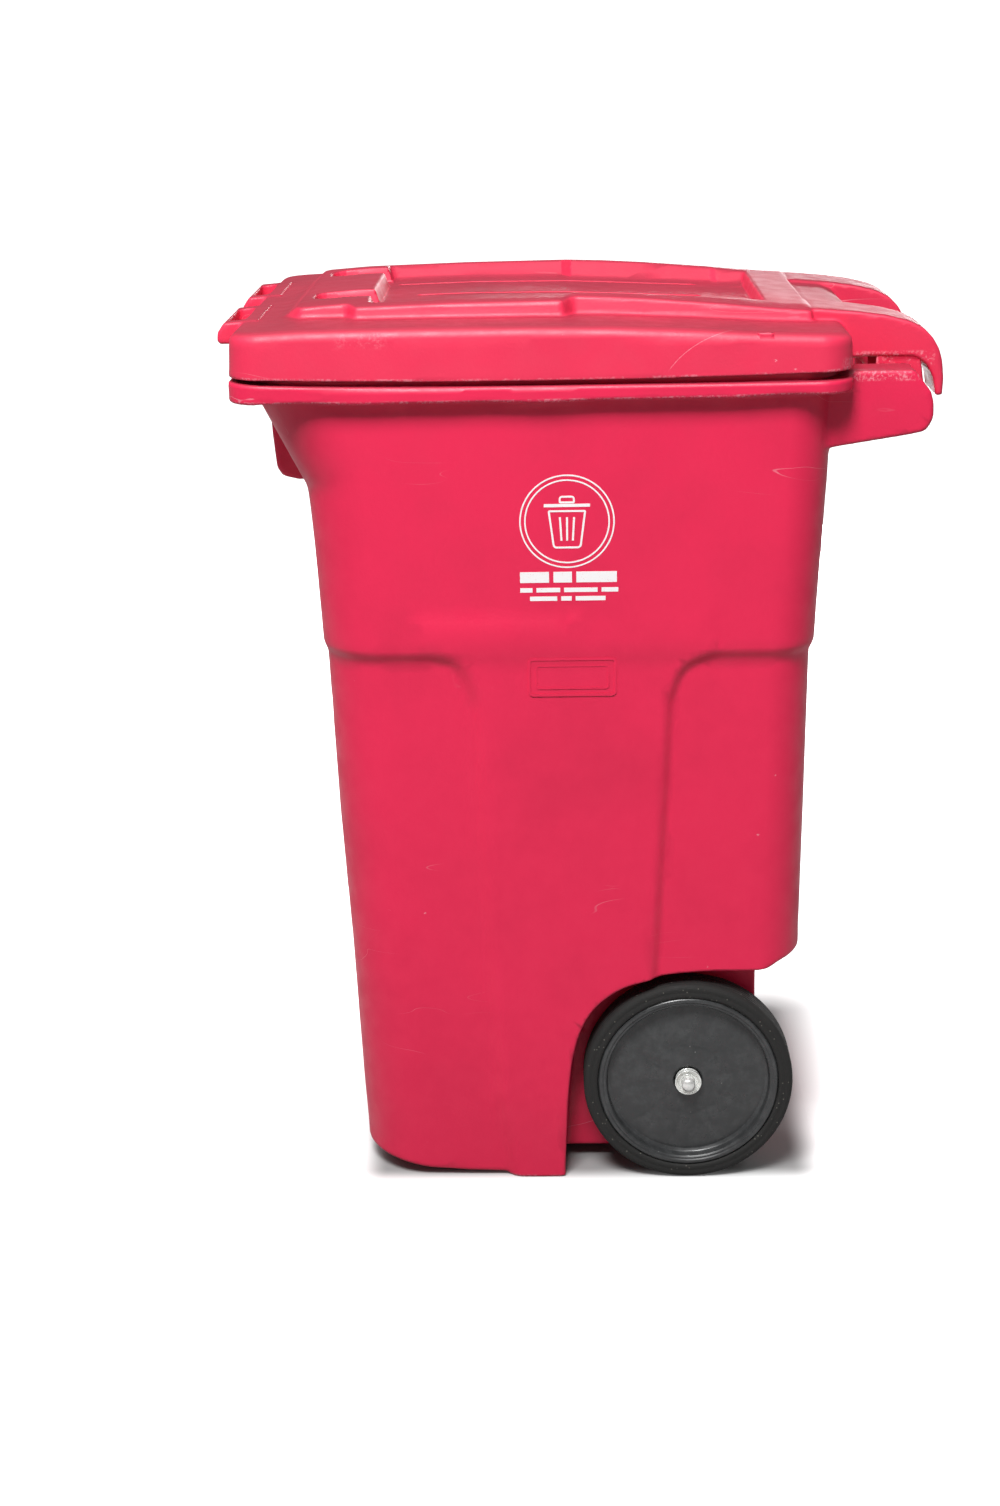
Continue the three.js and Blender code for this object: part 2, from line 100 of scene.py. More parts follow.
# The rim's and the skirt's lower edges sag: Y of the lowest place, reach, lowest height, rise.
RIM_SAG = (-150.0, 440.0, 964.0, 4.0)
SKIRT_SAG = (-50.0, 340.0, 987.8, 5.0)



def sag(y, middle, reach, lowest, rise):
    """The height of a sagging edge at y."""
    return lowest + rise * ((y - middle) / reach) ** 2


# ------------------------------------------------------------ distance fields


def union(a, b, soft):
    """Both shapes, with a fillet where they meet."""
    bridge = np.maximum(soft - np.abs(a - b), 0.0)
    return np.minimum(a, b) - bridge * bridge / (4.0 * soft)


def common(a, b, soft):
    """What two shapes share, with a rounded edge where they meet."""
    return -union(-a, -b, soft)


def cut(a, b, soft):
    """The first shape without the second, with a rounded edge."""
    return -union(-a, b, soft)


def pulled(flat, along, edge=0.0):
    """A flat shape pulled out along a third axis, with its edges rounded."""
    u = flat + edge
    v = along + edge
    outside = np.hypot(np.maximum(u, 0.0), np.maximum(v, 0.0))
    return np.minimum(np.maximum(u, v), 0.0) + outside - edge


def band(value, low, high):
    """Distance to the stretch from low to high along one axis."""
    return np.abs(value - (low + high) / 2.0) - (high - low) / 2.0


def rounded(points, radius=0.0):
    """A closed outline whose corners are arcs. A third number in a point is its own radius."""
    corners = [(p[0], p[1], p[2] if len(p) > 2 else radius) for p in points]
    result = []
    for i, (a, b, r) in enumerate(corners):
        here = np.array((a, b), float)
        before = np.array(corners[i - 1][:2]) - here
        after = np.array(corners[(i + 1) % len(corners)][:2]) - here
        long_before = np.linalg.norm(before)
        long_after = np.linalg.norm(after)
        before = before / long_before
        after = after / long_after
        half_turn = (np.pi - np.arccos(np.clip(before @ after, -1.0, 1.0))) / 2.0
        reach = min(r * np.tan(half_turn), 0.48 * long_before, 0.48 * long_after)
        if reach < 0.05:
            result.append(here)
            continue
        for t in np.linspace(0.0, 1.0, ARC_STEPS + 1):
            start = here + before * reach * (1.0 - t)
            end = here + after * reach * t
            result.append(start * (1.0 - t) + end * t)
    return np.array(result)


def inside_of(outline):
    """The exact signed distance to a closed outline, as a function of two coordinates."""
    starts = np.asarray(outline, float)
    ends = np.roll(starts, -1, axis=0)

    def distance(a, b):
        a, b = np.broadcast_arrays(a, b)
        nearest = np.full(a.shape, 1e12, a.dtype)
        within = np.zeros(a.shape, bool)
        for (a0, b0), (a1, b1) in zip(starts, ends):
            along_a = a1 - a0
            along_b = b1 - b0
            from_a = a - a0
            from_b = b - b0
            t = np.clip((from_a * along_a + from_b * along_b) / (along_a**2 + along_b**2), 0.0, 1.0)
            np.minimum(nearest, (from_a - t * along_a) ** 2 + (from_b - t * along_b) ** 2, out=nearest)
            if b0 != b1:
                spans = (b0 <= b) != (b1 <= b)
                within ^= spans & (from_a < from_b * (along_a / along_b))
        return np.where(within, -1.0, 1.0).astype(a.dtype) * np.sqrt(nearest)

    return distance


def rod(b, c, centre, radius):
    return np.hypot(b - centre[0], c - centre[1]) - radius


def plan(x, y, half, front, back, front_corner, rear_corner):
    """A rectangle seen from above, symmetric in X, with its own front and rear corners."""
    middle = (front + back) / 2.0
    corner = np.where(y < middle, front_corner, rear_corner).astype(np.float32)
    u = x - half + corner
    v = np.abs(y - middle) - (back - front) / 2.0 + corner
    outside = np.hypot(np.maximum(u, 0.0), np.maximum(v, 0.0))
    return np.minimum(np.maximum(u, v), 0.0) + outside - corner


# --------------------------------------------------------------------- body
# Outlines of [y, z] points, pulled out along X.

LOWER_WALLS = inside_of(rounded([
    (-308, 800), (-303.2, 662), (-296.5, 462), (-287.5, 289, 300), (-280, 104, 300),
    (-276.5, 40, 60), (-274, -150), (253, -150), (255.4, 292, 300), (258, 462, 300),
    (260.8, 662), (263, 800),
]))
BOTTOM_CURVE = inside_of(rounded([
    (-700, 1500), (-700, 60), (-276, 25, 60), (-250, 19.5, 60), (-197, 9.6, 100),
    (-148, 5.6, 100), (-104, 4), (204.5, 4), (204.5, 266, 4), (229, 279, 30),
    (260, 288), (700, 420), (700, 1500),
]))
UPPER_WALLS = inside_of(rounded([
    (-455, 1120), (-373, 966), (-368, 956, 40), (-318.5, 858, 26), (-312.5, 780, 200),
    (-306, 664), (-296, 500), (254, 500), (265, 664), (272, 780, 300),
    (276.5, 855, 300), (281, 966), (292, 1120),
]))
PILASTER = inside_of(rounded([
    (-84, -60), (-100, 0, 20), (-104, 24, 60), (-114.5, 104, 300), (-128, 364, 300),
    (-134.5, 612, 60), (-150, 652, 40), (-196, 672), (-196, 720), (150, 720),
    (156, 672), (112, 650, 40), (99.5, 612, 60), (87, 364, 300), (78, 200), (40, -60),
]))
WELL = inside_of(rounded([
    (-29.5, -60), (-29.5, 14, 200), (-25.5, 102, 300), (-20.5, 155, 200), (-11, 194, 140),
    (6, 226, 110), (38.5, 252, 110), (92.5, 266, 120), (134.5, 270, 200), (360, 271), (360, -60),
]))
EAR = inside_of(rounded([
    (240, 893), (275.5, 900), (360.5, 913), (385, 917.5, 22), (392.8, 933, 20),
    (392.3, 950, 10), (389, 962, 14), (369.5, 987.5, 8), (240, 987.5),
]))
LIFT_RECESS = inside_of(rounded([(-330, 466), (-244, 478, 8), (-244, 582, 8), (-330, 594)]))
SADDLE = inside_of(rounded([
    (-300, 846), (-339.5, 846), (-358, 850.5, 12), (-364.5, 861, 16), (-368, 900),
    (-371.5, 970), (-300, 970),
]))
SADDLE_POCKET = inside_of(rounded([(-290, 820), (-357, 820), (-362, 938, 6), (-290, 938)]))


def rim_top(y):
    """The moulded rim sags a little along the sides and is almost level in their middle."""
    return 982.4 + 5.5 * ((y - 20.0) / 400.0) ** 4


def rim_bottom(y):
    """The rim's lower edge is also a little wavy."""
    wave = 0.7 * np.sin(y / 29.0) + 0.4 * np.sin(y / 17.0 + 1.0)
    return sag(y, *RIM_SAG) + wave


def side_at(z):
    return FOOT_HALF + SIDE_TAPER * z


def corner_at(y):
    return np.where(y < CORNER_CHANGE, FRONT_CORNER, REAR_CORNER).astype(np.float32)


def body_outside(x, y, z):
    """The body's outer shape, with its lip carried on upwards past the top."""
    side = x - side_at(z)
    corner = corner_at(y)
    lower = pulled(LOWER_WALLS(y, z), side + PANEL_DEPTH, corner)
    shape = common(lower, BOTTOM_CURVE(y, z), 6.0)
    upper = pulled(UPPER_WALLS(y, z), side, corner)
    upper = pulled(upper, band(z, LEDGE, UPPER_TOP), 13.0)
    shape = union(shape, upper, 9.0)
    strip_edge = np.where(y < CORNER_CHANGE, 20.0, 11.0).astype(np.float32)
    strip = pulled(PILASTER(y, z), side, strip_edge)
    shape = union(shape, common(strip, -z, 3.0), 7.0)
    rim = plan(x, y, RIM_HALF, RIM_FRONT, RIM_BACK, RIM_CORNER, RIM_CORNER)
    rim = pulled(rim, band(z, rim_bottom(y), rim_top(y)), 4.0)
    rim = cut(rim, pulled(x - EAR_INNER, 285.0 - y), 4.0)
    shape = union(shape, rim, 4.0)
    lip = plan(x, y, LIP_HALF, LIP_FRONT, LIP_BACK, 62.0, 46.0)
    shape = union(shape, np.maximum(lip, LIP_FOOT - z), 3.0)
    ear = pulled(EAR(y, z), band(x, EAR_INNER, EAR_OUTER), 5.0)
    shape = union(shape, ear, 6.0)
    bar = np.maximum(rod(y, z, HINGE, BAR_RADIUS), x - EAR_INNER - 2 * WALL)
    shape = union(shape, bar, 6.0)
    shape = cut(shape, pulled(WELL(y, z), WELL_WALL - x, 6.0), 3.0)
    between = pulled(x - EAR_INNER, FEET_FRONT - y, 8.0)
    behind = pulled(x - WELL_WALL - 1.0, FEET_BACK - y, 0.0)
    hollow = np.maximum(np.minimum(between, behind), z - UNDERSIDE)
    shape = cut(shape, hollow, 5.0)
    shape = cut(shape, rod(y, z, AXLE, AXLE_BORE), 1.5)
    recess = pulled(LIFT_RECESS(y, z), x - RECESS_HALF, 6.0)
    socket = np.maximum(rod(y, z, LIFT, LIFT_BORE), x - LIFT_BORE_END)
    return cut(shape, np.minimum(recess, socket), 4.0)


def body_solid(x, y, z):
    """The body with its lift saddle, filled."""
    x = np.abs(x)
    saddle = pulled(SADDLE(y, z), x - 118.0, 5.0)
    saddle = cut(saddle, pulled(SADDLE_POCKET(y, z), x - 111.0), 2.0)
    solid = union(body_outside(x, y, z), saddle, 5.0)
    return common(solid, z - LIP_TOP, 3.0)


def body_hollow(x, y, z):
    return np.maximum(body_outside(np.abs(x), y, z) + WALL, z - LIP_TOP - 12.0)


# ---------------------------------------------------------------------- lid

LID_CROWN = inside_of(rounded([
    (-440, 900), (-440, 1041.5), (-392, 1043, 200), (-311, 1046.5, 200), (-200, 1047.5, 200),
    (-60, 1047.5, 300), (30, 1046, 300), (127, 1041.5, 200), (205, 1036.8, 200),
    (300, 1033.5), (340, 1032), (340, 900),
]))
BORDER_CROWN = inside_of(rounded([
    (-352, 1030), (-345, 1040), (-323, 1059, 14), (-268, 1063, 200), (-143, 1066.3, 300),
    (-14, 1067.5, 300), (30, 1066, 200), (80, 1063, 300), (160, 1056.5, 300),
    (213, 1051.5, 200), (259, 1048, 6), (263, 1032), (263, 1020), (-352, 1020),
]))
BORDER_PLAN = inside_of(rounded([
    (-10, -346), (168, -346, 20), (205, -322, 12), (205, -268, 9), (226, -258, 9),
    (226, -20, 9), (205, -10, 9), (205, 262, 6), (-10, 262),
]))
SUNK_FLOOR = inside_of(rounded([
    (-329, 1045), (-130, 1050, 300), (-14, 1049.4, 300), (86, 1044.8, 300), (166, 1041.2, 300),
    (232.5, 1037.5), (232.5, 1100), (-329, 1100),
]))
SUNK_SLOPE = 1.0                        # the panel's sides lean out this far per mm of height
POCKET = inside_of(rounded([(92, -220), (92, -307, 15), (150, -307, 22), (150, -220)]))
ARM = inside_of(rounded([
    (180, 1038), (262.5, 1049, 60), (313.5, 1044.5, 200), (345, 1040, 100), (372.5, 1033, 60),
    (388, 1025, 30), (399.5, 1013, 30), (407, 1000, 30), (410.5, 987, 30), (412.5, 967, 40),
    (411.5, 948, 3), (404, 947, 3), (400.5, 967, 20), (393.5, 981, 16), (385, 988.5, 10),
    (377, 992, 10), (326.5, 993, 8), (303, 991, 8), (280, 1006), (180, 1020),
]))
ARM_HOLLOW = inside_of(rounded([
    (246, 1000), (250, 1036, 20), (313.5, 1034.5, 60), (345, 1030, 60), (366, 1023, 40),
    (383, 1013, 30), (392, 1002, 30), (397, 985, 30), (396, 930), (320, 930),
]))
RAMP = inside_of(rounded([
    (240, 1000), (240, 1044), (262, 1044.5, 20), (298, 1041.5, 30), (318, 1034, 11),
    (318, 1016, 8), (296, 1004),
]))
KNUCKLE = inside_of(rounded([
    (334, 1034), (336, 942, 6), (341, 934, 8), (385, 927, 4), (391, 933, 4), (391.5, 950),
    (388, 975), (382, 1022),
]))
LUG = inside_of(rounded([
    (-370, 1018.5), (-414, 1018.5, 2), (-417.5, 1022, 3), (-417, 1031, 4), (-409, 1043, 5),
    (-370, 1046),
]))

LID_LOWEST = 925.0                      # no part of the lid is lower
PANEL_FLOOR = 1047.0                    # height at which the sunk panel has its stated width
LUG_ENDS = (50.0, 198.0)                # X of a pull loop's two ends
SLOT_MIDDLE = 124.0
SLOT_HALF = 56.0
SLOT_CORNER = 8.5
PAD_ROW = 298.0                         # X of the rest pads


def lid_bottom(y):
    """The skirt's lower edge sags with the rim under it."""
    return sag(y, *SKIRT_SAG)


def sunk_half(y):
    """Half the width of the sunk panel's floor: it narrows in two steps towards the back."""
    first_step = 25.0 * np.clip((y + 22.0) / 12.0, 0.0, 1.0)
    second_step = 9.0 * np.clip((y - 166.0) / 8.0, 0.0, 1.0)
    return 182.0 - first_step - second_step


def sunk_panel(x, y, z):
    """The air over the sunk panel and in the two pockets beside the front tongue."""
    rise = z - PANEL_FLOOR
    sides = (x - sunk_half(y) - SUNK_SLOPE * rise) / np.hypot(1.0, SUNK_SLOPE)
    trough = common(sides, band(y, -236.0, 207.0) - 0.35 * rise, 6.0)
    return pulled(np.minimum(trough, POCKET(x, y) - 0.25 * rise), SUNK_FLOOR(y, z), 3.0)


def lid_outside(x, y, z):
    """The lid's plate and raised border, with the skirt carried on downwards."""
    lean = 0.045 * (z - 992.5)
    plate = plan(x, y, RIM_HALF - 0.2, RIM_FRONT + 1.0, RIM_BACK, RIM_CORNER, RIM_CORNER) + lean
    plate = pulled(plate, LID_CROWN(y, z), 13.0)
    crest = BORDER_CROWN(y, z + 0.1 * (np.clip(x, 175.0, 226.0) - 205.0))
    raised = pulled(BORDER_PLAN(x, y) + 0.25 * (z - 1048.0), crest, 4.0)
    shape = union(plate, raised, 6.0)
    return cut(shape, sunk_panel(x, y, z), 3.0)


def lid_solid(x, y, z):
    """The lid with its arms and pull loops, filled."""
    x = np.abs(x)
    solid = common(lid_outside(x, y, z), lid_bottom(y) - z, 2.0)
    solid = union(solid, pulled(RAMP(y, z), x - ARM_INNER - 10.0, 2.0), 4.0)
    solid = union(solid, pulled(ARM(y, z), band(x, ARM_INNER, ARM_OUTER), 4.5), 5.0)
    lug = pulled(LUG(y, z), band(x, *LUG_ENDS), 4.0)
    slot = plan(np.abs(x - SLOT_MIDDLE), y, SLOT_HALF, -406.5, -386.5, SLOT_CORNER, SLOT_CORNER)
    return union(solid, cut(lug, slot, 3.0), 4.0)


def lid_hollow(x, y, z):
    x = np.abs(x)
    arm = pulled(ARM_HOLLOW(y, z), band(x, ARM_INNER, ARM_OUTER) + WALL, 4.0)
    under_plate = np.maximum(lid_outside(x, y, z) + WALL, LID_LOWEST - z)
    return np.minimum(under_plate, np.maximum(arm, LID_LOWEST - z))


def knuckles(x, y, z):
    """Plates in the arms that drop over the hand bar, held by the keeper pins."""
    x = np.abs(x)
    inner = band(x, ARM_INNER + 2.0, ARM_INNER + 10.0)
    outer = band(x, ARM_OUTER - 10.0, ARM_OUTER - 2.0)
    plates = pulled(KNUCKLE(y, z), np.minimum(inner, outer), 1.5)
    clearance = BAR_RADIUS + 0.6
    mouth = np.maximum(np.abs(y - HINGE[0]) - clearance, z - HINGE[1])
    plates = cut(plates, np.minimum(rod(y, z, HINGE, clearance), mouth), 1.5)
    return np.maximum(plates, -rod(y, z, PIN, 4.8))


def rest_pads(x, y, z):
    """Blocks under the lid that rest on the body's lip."""
    from_row = np.abs(x) - PAD_ROW
    nearest = np.minimum(np.abs(y), np.minimum(np.abs(y + 260.0), np.abs(y - 200.0)))
    pad = pulled(np.abs(from_row) - 6.0, nearest - 9.0, 2.0)
    return pulled(pad, band(z, LIP_TOP + 0.3, 1036.5), 1.0)


# ------------------------------------------------------------------- meshing


def linked(name, data):
    """A new object in the scene."""
    made = bpy.data.objects.new(name, data)
    bpy.context.scene.collection.objects.link(made)
    return made


def slope_of(field, points, step):
    """The field's gradient and mean value round each point."""
    gradient = np.zeros_like(points)
    mean = np.zeros(len(points))
    for way in ((1, -1, -1), (-1, -1, 1), (-1, 1, -1), (1, 1, 1)):
        at = points + step * np.array(way)
        value = field(at[:, 0], at[:, 1], at[:, 2])
        gradient += np.outer(value, way)
        mean += value / 4.0
    return gradient / (4.0 * step), mean


def surface(name, field, low, high, pitch, flatness):
    """A closed mesh where the field is zero, symmetric in X."""
    half_x = ((np.arange(int(np.ceil(high[0] / pitch)) + 2) + 0.5) * pitch).astype(np.float32)
    ys = np.arange(low[1], high[1] + pitch, pitch).astype(np.float32)
    zs = np.arange(low[2], high[2] + pitch, pitch).astype(np.float32)
    half = field(half_x[:, None, None], ys[None, :, None], zs[None, None, :])
    far = 4.0 * pitch
    half = np.clip(half, -far, far).astype(np.float32)
    grid = openvdb.FloatGrid(far)
    grid.copyFromArray(np.concatenate([half[::-1], half]))
    points, triangles, quads = grid.convertToPolygons(isovalue=0.0, adaptivity=flatness)
    points = points * pitch + np.array((-half_x[-1], ys[0], zs[0]))
    slope, value = slope_of(field, points, NORMAL_STEP)
    shift = value / np.maximum((slope**2).sum(1), 0.25)
    points = points - slope * np.clip(shift, -pitch / 3.0, pitch / 3.0)[:, None]
    mesh = bpy.data.meshes.new(name)
    mesh.from_pydata((points * MM).tolist(), [], triangles.tolist() + quads.tolist())
    return linked(name, mesh)


def combined(piece, other, operation):
    """Adds or takes away a second closed mesh, which is then removed."""
    step = piece.modifiers.new(operation.lower(), "BOOLEAN")
    step.operation = operation
    step.object = other
    step.solver = "MANIFOLD"
    evaluated = piece.evaluated_get(bpy.context.evaluated_depsgraph_get())
    mesh = bpy.data.meshes.new_from_object(evaluated)
    piece.modifiers.clear()
    piece.data = mesh
    bpy.data.objects.remove(other)


def finished_moulding(piece, field):
    """Smooth normals from the field's slope, and the sharpness of each edge for the wear on it."""
    mesh = piece.data
    points = np.empty(len(mesh.vertices) * 3, np.float32)
    mesh.vertices.foreach_get("co", points)
    points = points.reshape(-1, 3).astype(float) / MM
    slope, _ = slope_of(field, points, NORMAL_STEP)
    normals = slope / np.maximum(np.linalg.norm(slope, axis=1), 1e-6)[:, None]
    _, bulge = slope_of(field, points, EDGE_STEP)
    mesh.shade_smooth()
    mesh.normals_split_custom_set_from_vertices(normals.tolist())
    edge = mesh.attributes.new("edge", "FLOAT", "POINT")
    edge.data.foreach_set("value", np.clip(bulge, 0.0, 1.0).astype(np.float32))


def moulded_body():
    low = (0, RIM_FRONT - 8.0, -8.0)
    high = (RIM_HALF + 6.0, 400.0, LIP_TOP + 6.0)
    piece = surface("moulded_body", body_solid, low, high, PITCH, FLATNESS)
    high = (high[0], high[1], high[2] + 14.0)
    hollow = surface("hollow", body_hollow, low, high, HOLLOW_PITCH, HOLLOW_FLATNESS)
    combined(piece, hollow, "DIFFERENCE")
    finished_moulding(piece, lambda x, y, z: np.maximum(body_solid(x, y, z), -body_hollow(x, y, z)))
    return piece


def moulded_lid():
    low = (0, -425.0, LID_LOWEST - 6.0)
    high = (RIM_HALF + 6.0, 420.0, 1074.0)
    piece = surface("moulded_lid", lid_solid, low, high, LID_PITCH, FLATNESS)
    hollow = surface("hollow", lid_hollow, low, high, HOLLOW_PITCH, HOLLOW_FLATNESS)
    combined(piece, hollow, "DIFFERENCE")

    def within(x, y, z):
        return np.minimum(knuckles(x, y, z), rest_pads(x, y, z))

    combined(piece, surface("knuckles", within, low, high, LID_PITCH, FLATNESS), "UNION")

    def whole(x, y, z):
        return np.minimum(np.maximum(lid_solid(x, y, z), -lid_hollow(x, y, z)), within(x, y, z))

    finished_moulding(piece, whole)
    return piece


# ---------------------------------------------------------------- materials


class Nodes:
    """Short ways to write a material's nodes."""

    def __init__(self, name):
        self.material = bpy.data.materials.new(name)
        self.material.use_nodes = True
        self.tree = self.material.node_tree
        self.shader = self.tree.nodes["Principled BSDF"]
        where = self.make("ShaderNodeTexCoord").outputs
        self.place = where["Object"]
        self.facing = where["Normal"]

    def make(self, kind, inputs=(), **settings):
        node = self.tree.nodes.new(kind)
        for key, value in settings.items():
            setattr(node, key, value)
        for key, value in dict(inputs).items():
            self.put(node.inputs[key], value)
        return node

    def put(self, socket, value):
        if isinstance(value, bpy.types.NodeSocket):
            self.tree.links.new(value, socket)
        else:
            socket.default_value = value

    def stretched(self, scale):
        return self.make("ShaderNodeMapping", {"Vector": self.place, "Scale": scale}).outputs[0]

    def noise(self, scale, detail=2.0, vector=None, distortion=0.0, roughness=0.5):
        inputs = {"Vector": vector or self.place, "Scale": scale, "Detail": detail}
        inputs.update({"Distortion": distortion, "Roughness": roughness})
        return self.make("ShaderNodeTexNoise", inputs).outputs["Fac"]

    def spots(self, scale, vector=None):
        """Distance to the nearest of scattered points, and a random number for each point."""
        node = self.make("ShaderNodeTexVoronoi", {"Vector": vector or self.place, "Scale": scale})
        channels = self.make("ShaderNodeSeparateColor", {"Color": node.outputs["Color"]})
        return node.outputs["Distance"], channels.outputs[0]

    def math(self, operation, a, b=0.0):
        node = self.make("ShaderNodeMath", operation=operation)
        self.put(node.inputs[0], a)
        self.put(node.inputs[1], b)
        return node.outputs[0]

    def ramp(self, value, low, high, to_low=0.0, to_high=1.0):
        """Value from low to high, carried smoothly to a new range and held at its ends."""
        inputs = {"Value": value, "From Min": low, "From Max": high, "To Min": to_low, "To Max": to_high}
        return self.make("ShaderNodeMapRange", inputs, interpolation_type="SMOOTHSTEP").outputs[0]

    def mix(self, factor, a, b):
        node = self.make("ShaderNodeMix", data_type="RGBA")
        self.put(node.inputs["Factor"], factor)
        self.put(node.inputs["A"], a)
        self.put(node.inputs["B"], b)
        return node.outputs["Result"]

    def position(self):
        """X without its sign, Y and Z of the surface, in millimetres."""
        node = self.make("ShaderNodeSeparateXYZ", {"Vector": self.place}).outputs
        x, y, z = (self.math("MULTIPLY", axis, 1000.0) for axis in node)
        return self.math("ABSOLUTE", x), y, z

    def within(self, value, low, high, soft):
        """1 from low to high, fading to 0 over a soft distance on each side."""
        rise = self.ramp(value, low - soft, low)
        return self.math("MULTIPLY", rise, self.ramp(value, high, high + soft, 1.0, 0.0))

    def all_of(self, *values):
        result = values[0]
        for value in values[1:]:
            result = self.math("MULTIPLY", result, value)
        return result

    def most_of(self, *values):
        result = values[0]
        for value in values[1:]:
            result = self.math("MAXIMUM", result, value)
        return result

    def sag(self, y, middle, reach, lowest, rise):
        """The same curve as sag() above, in nodes."""
        from_middle = self.math("DIVIDE", self.math("SUBTRACT", y, middle), reach)
        squared = self.math("POWER", self.math("ABSOLUTE", from_middle), 2.0)
        return self.math("ADD", self.math("MULTIPLY", squared, rise), lowest)

    def attribute(self, name):
        return self.make("ShaderNodeAttribute", attribute_name=name).outputs["Fac"]

    def bump(self, height, strength, distance, before=None):
        inputs = {"Height": height, "Strength": strength, "Distance": distance}
        if before:
            inputs["Normal"] = before
        return self.make("ShaderNodeBump", inputs).outputs[0]

    def finish(self, **values):
        for name, value in values.items():
            self.put(self.shader.inputs[name.replace("_", " ")], value)
        return self.material


def body_wear(m):
    """Where the body is rubbed: the rim's lower edge, the tops of the ears, the edge of the foot."""
    x, y, z = m.position()
    from_rim = m.math("SUBTRACT", z, m.sag(y, *RIM_SAG))
    rim_edge = m.all_of(m.within(from_rim, -3.0, 3.0, 1.5), m.ramp(x, 300.0, 304.0))
    ear_top = m.all_of(
        m.within(z, 978.0, 989.0, 4.0), m.within(y, 302.0, 374.0, 6.0), m.within(x, 250.0, 263.0, 4.0),
    )
    foot = m.all_of(m.ramp(z, 5.0, 1.5), m.ramp(x, 240.0, 262.0))
    return m.most_of(m.math("MULTIPLY", rim_edge, 0.75), ear_top, m.math("MULTIPLY", foot, 0.6))


def lid_wear(m):
    """Where the lid is rubbed: the skirt's lower edge, rear corner and shoulder, the arms' lower edges."""
    x, y, z = m.position()
    from_skirt = m.math("SUBTRACT", z, m.sag(y, *SKIRT_SAG))
    skirt_edge = m.all_of(m.within(from_skirt, -1.0, 2.5, 1.5), m.ramp(x, 298.0, 303.0))
    rear_corner = m.all_of(
        m.within(from_skirt, -1.0, 10.0, 6.0), m.ramp(y, 282.0, 294.0), m.ramp(x, 272.0, 286.0),
    )
    shoulder = m.all_of(
        m.within(z, 1028.0, 1040.0, 5.0), m.within(y, -262.0, -228.0, 16.0), m.ramp(x, 288.0, 294.0),
    )
    arm_edge = m.all_of(
        m.within(z, 985.0, 997.0, 4.0), m.within(y, 308.0, 398.0, 6.0), m.within(x, 188.0, 197.0, 3.0),
    )
    return m.most_of(
        m.math("MULTIPLY", skirt_edge, 0.6), m.math("MULTIPLY", rear_corner, 0.8),
        m.math("MULTIPLY", shoulder, 0.3), m.math("MULTIPLY", arm_edge, 0.85),
    )


def lid_scratch(m):
    """A long curved scratch on the skirt, an arc in the Y-Z plane."""
    centre_y, centre_z, radius = 178.0, 935.0, 105.0
    x, y, z = m.position()
    across = m.math("SUBTRACT", y, centre_y)
    up = m.math("SUBTRACT", z, centre_z)
    reach = m.math("SQRT", m.math("ADD", m.math("MULTIPLY", across, across), m.math("MULTIPLY", up, up)))
    from_arc = m.math("ABSOLUTE", m.math("SUBTRACT", reach, radius))
    return m.all_of(m.ramp(from_arc, 0.50, 0.15), m.within(y, 98.0, 170.0, 6.0), m.ramp(x, 294.0, 296.0))


WORN = (0.88, 0.30, 0.38, 1.0)
PALE_GRAIN = (0.92, 0.10, 0.20, 1.0)
DARK_GRAIN = (0.45, 0.004, 0.03, 1.0)
# dark red of the painted shade on upward faces, with some dust in it
TOP_SHADE_AND_DUST = (0.30, 0.018, 0.040, 1.0)


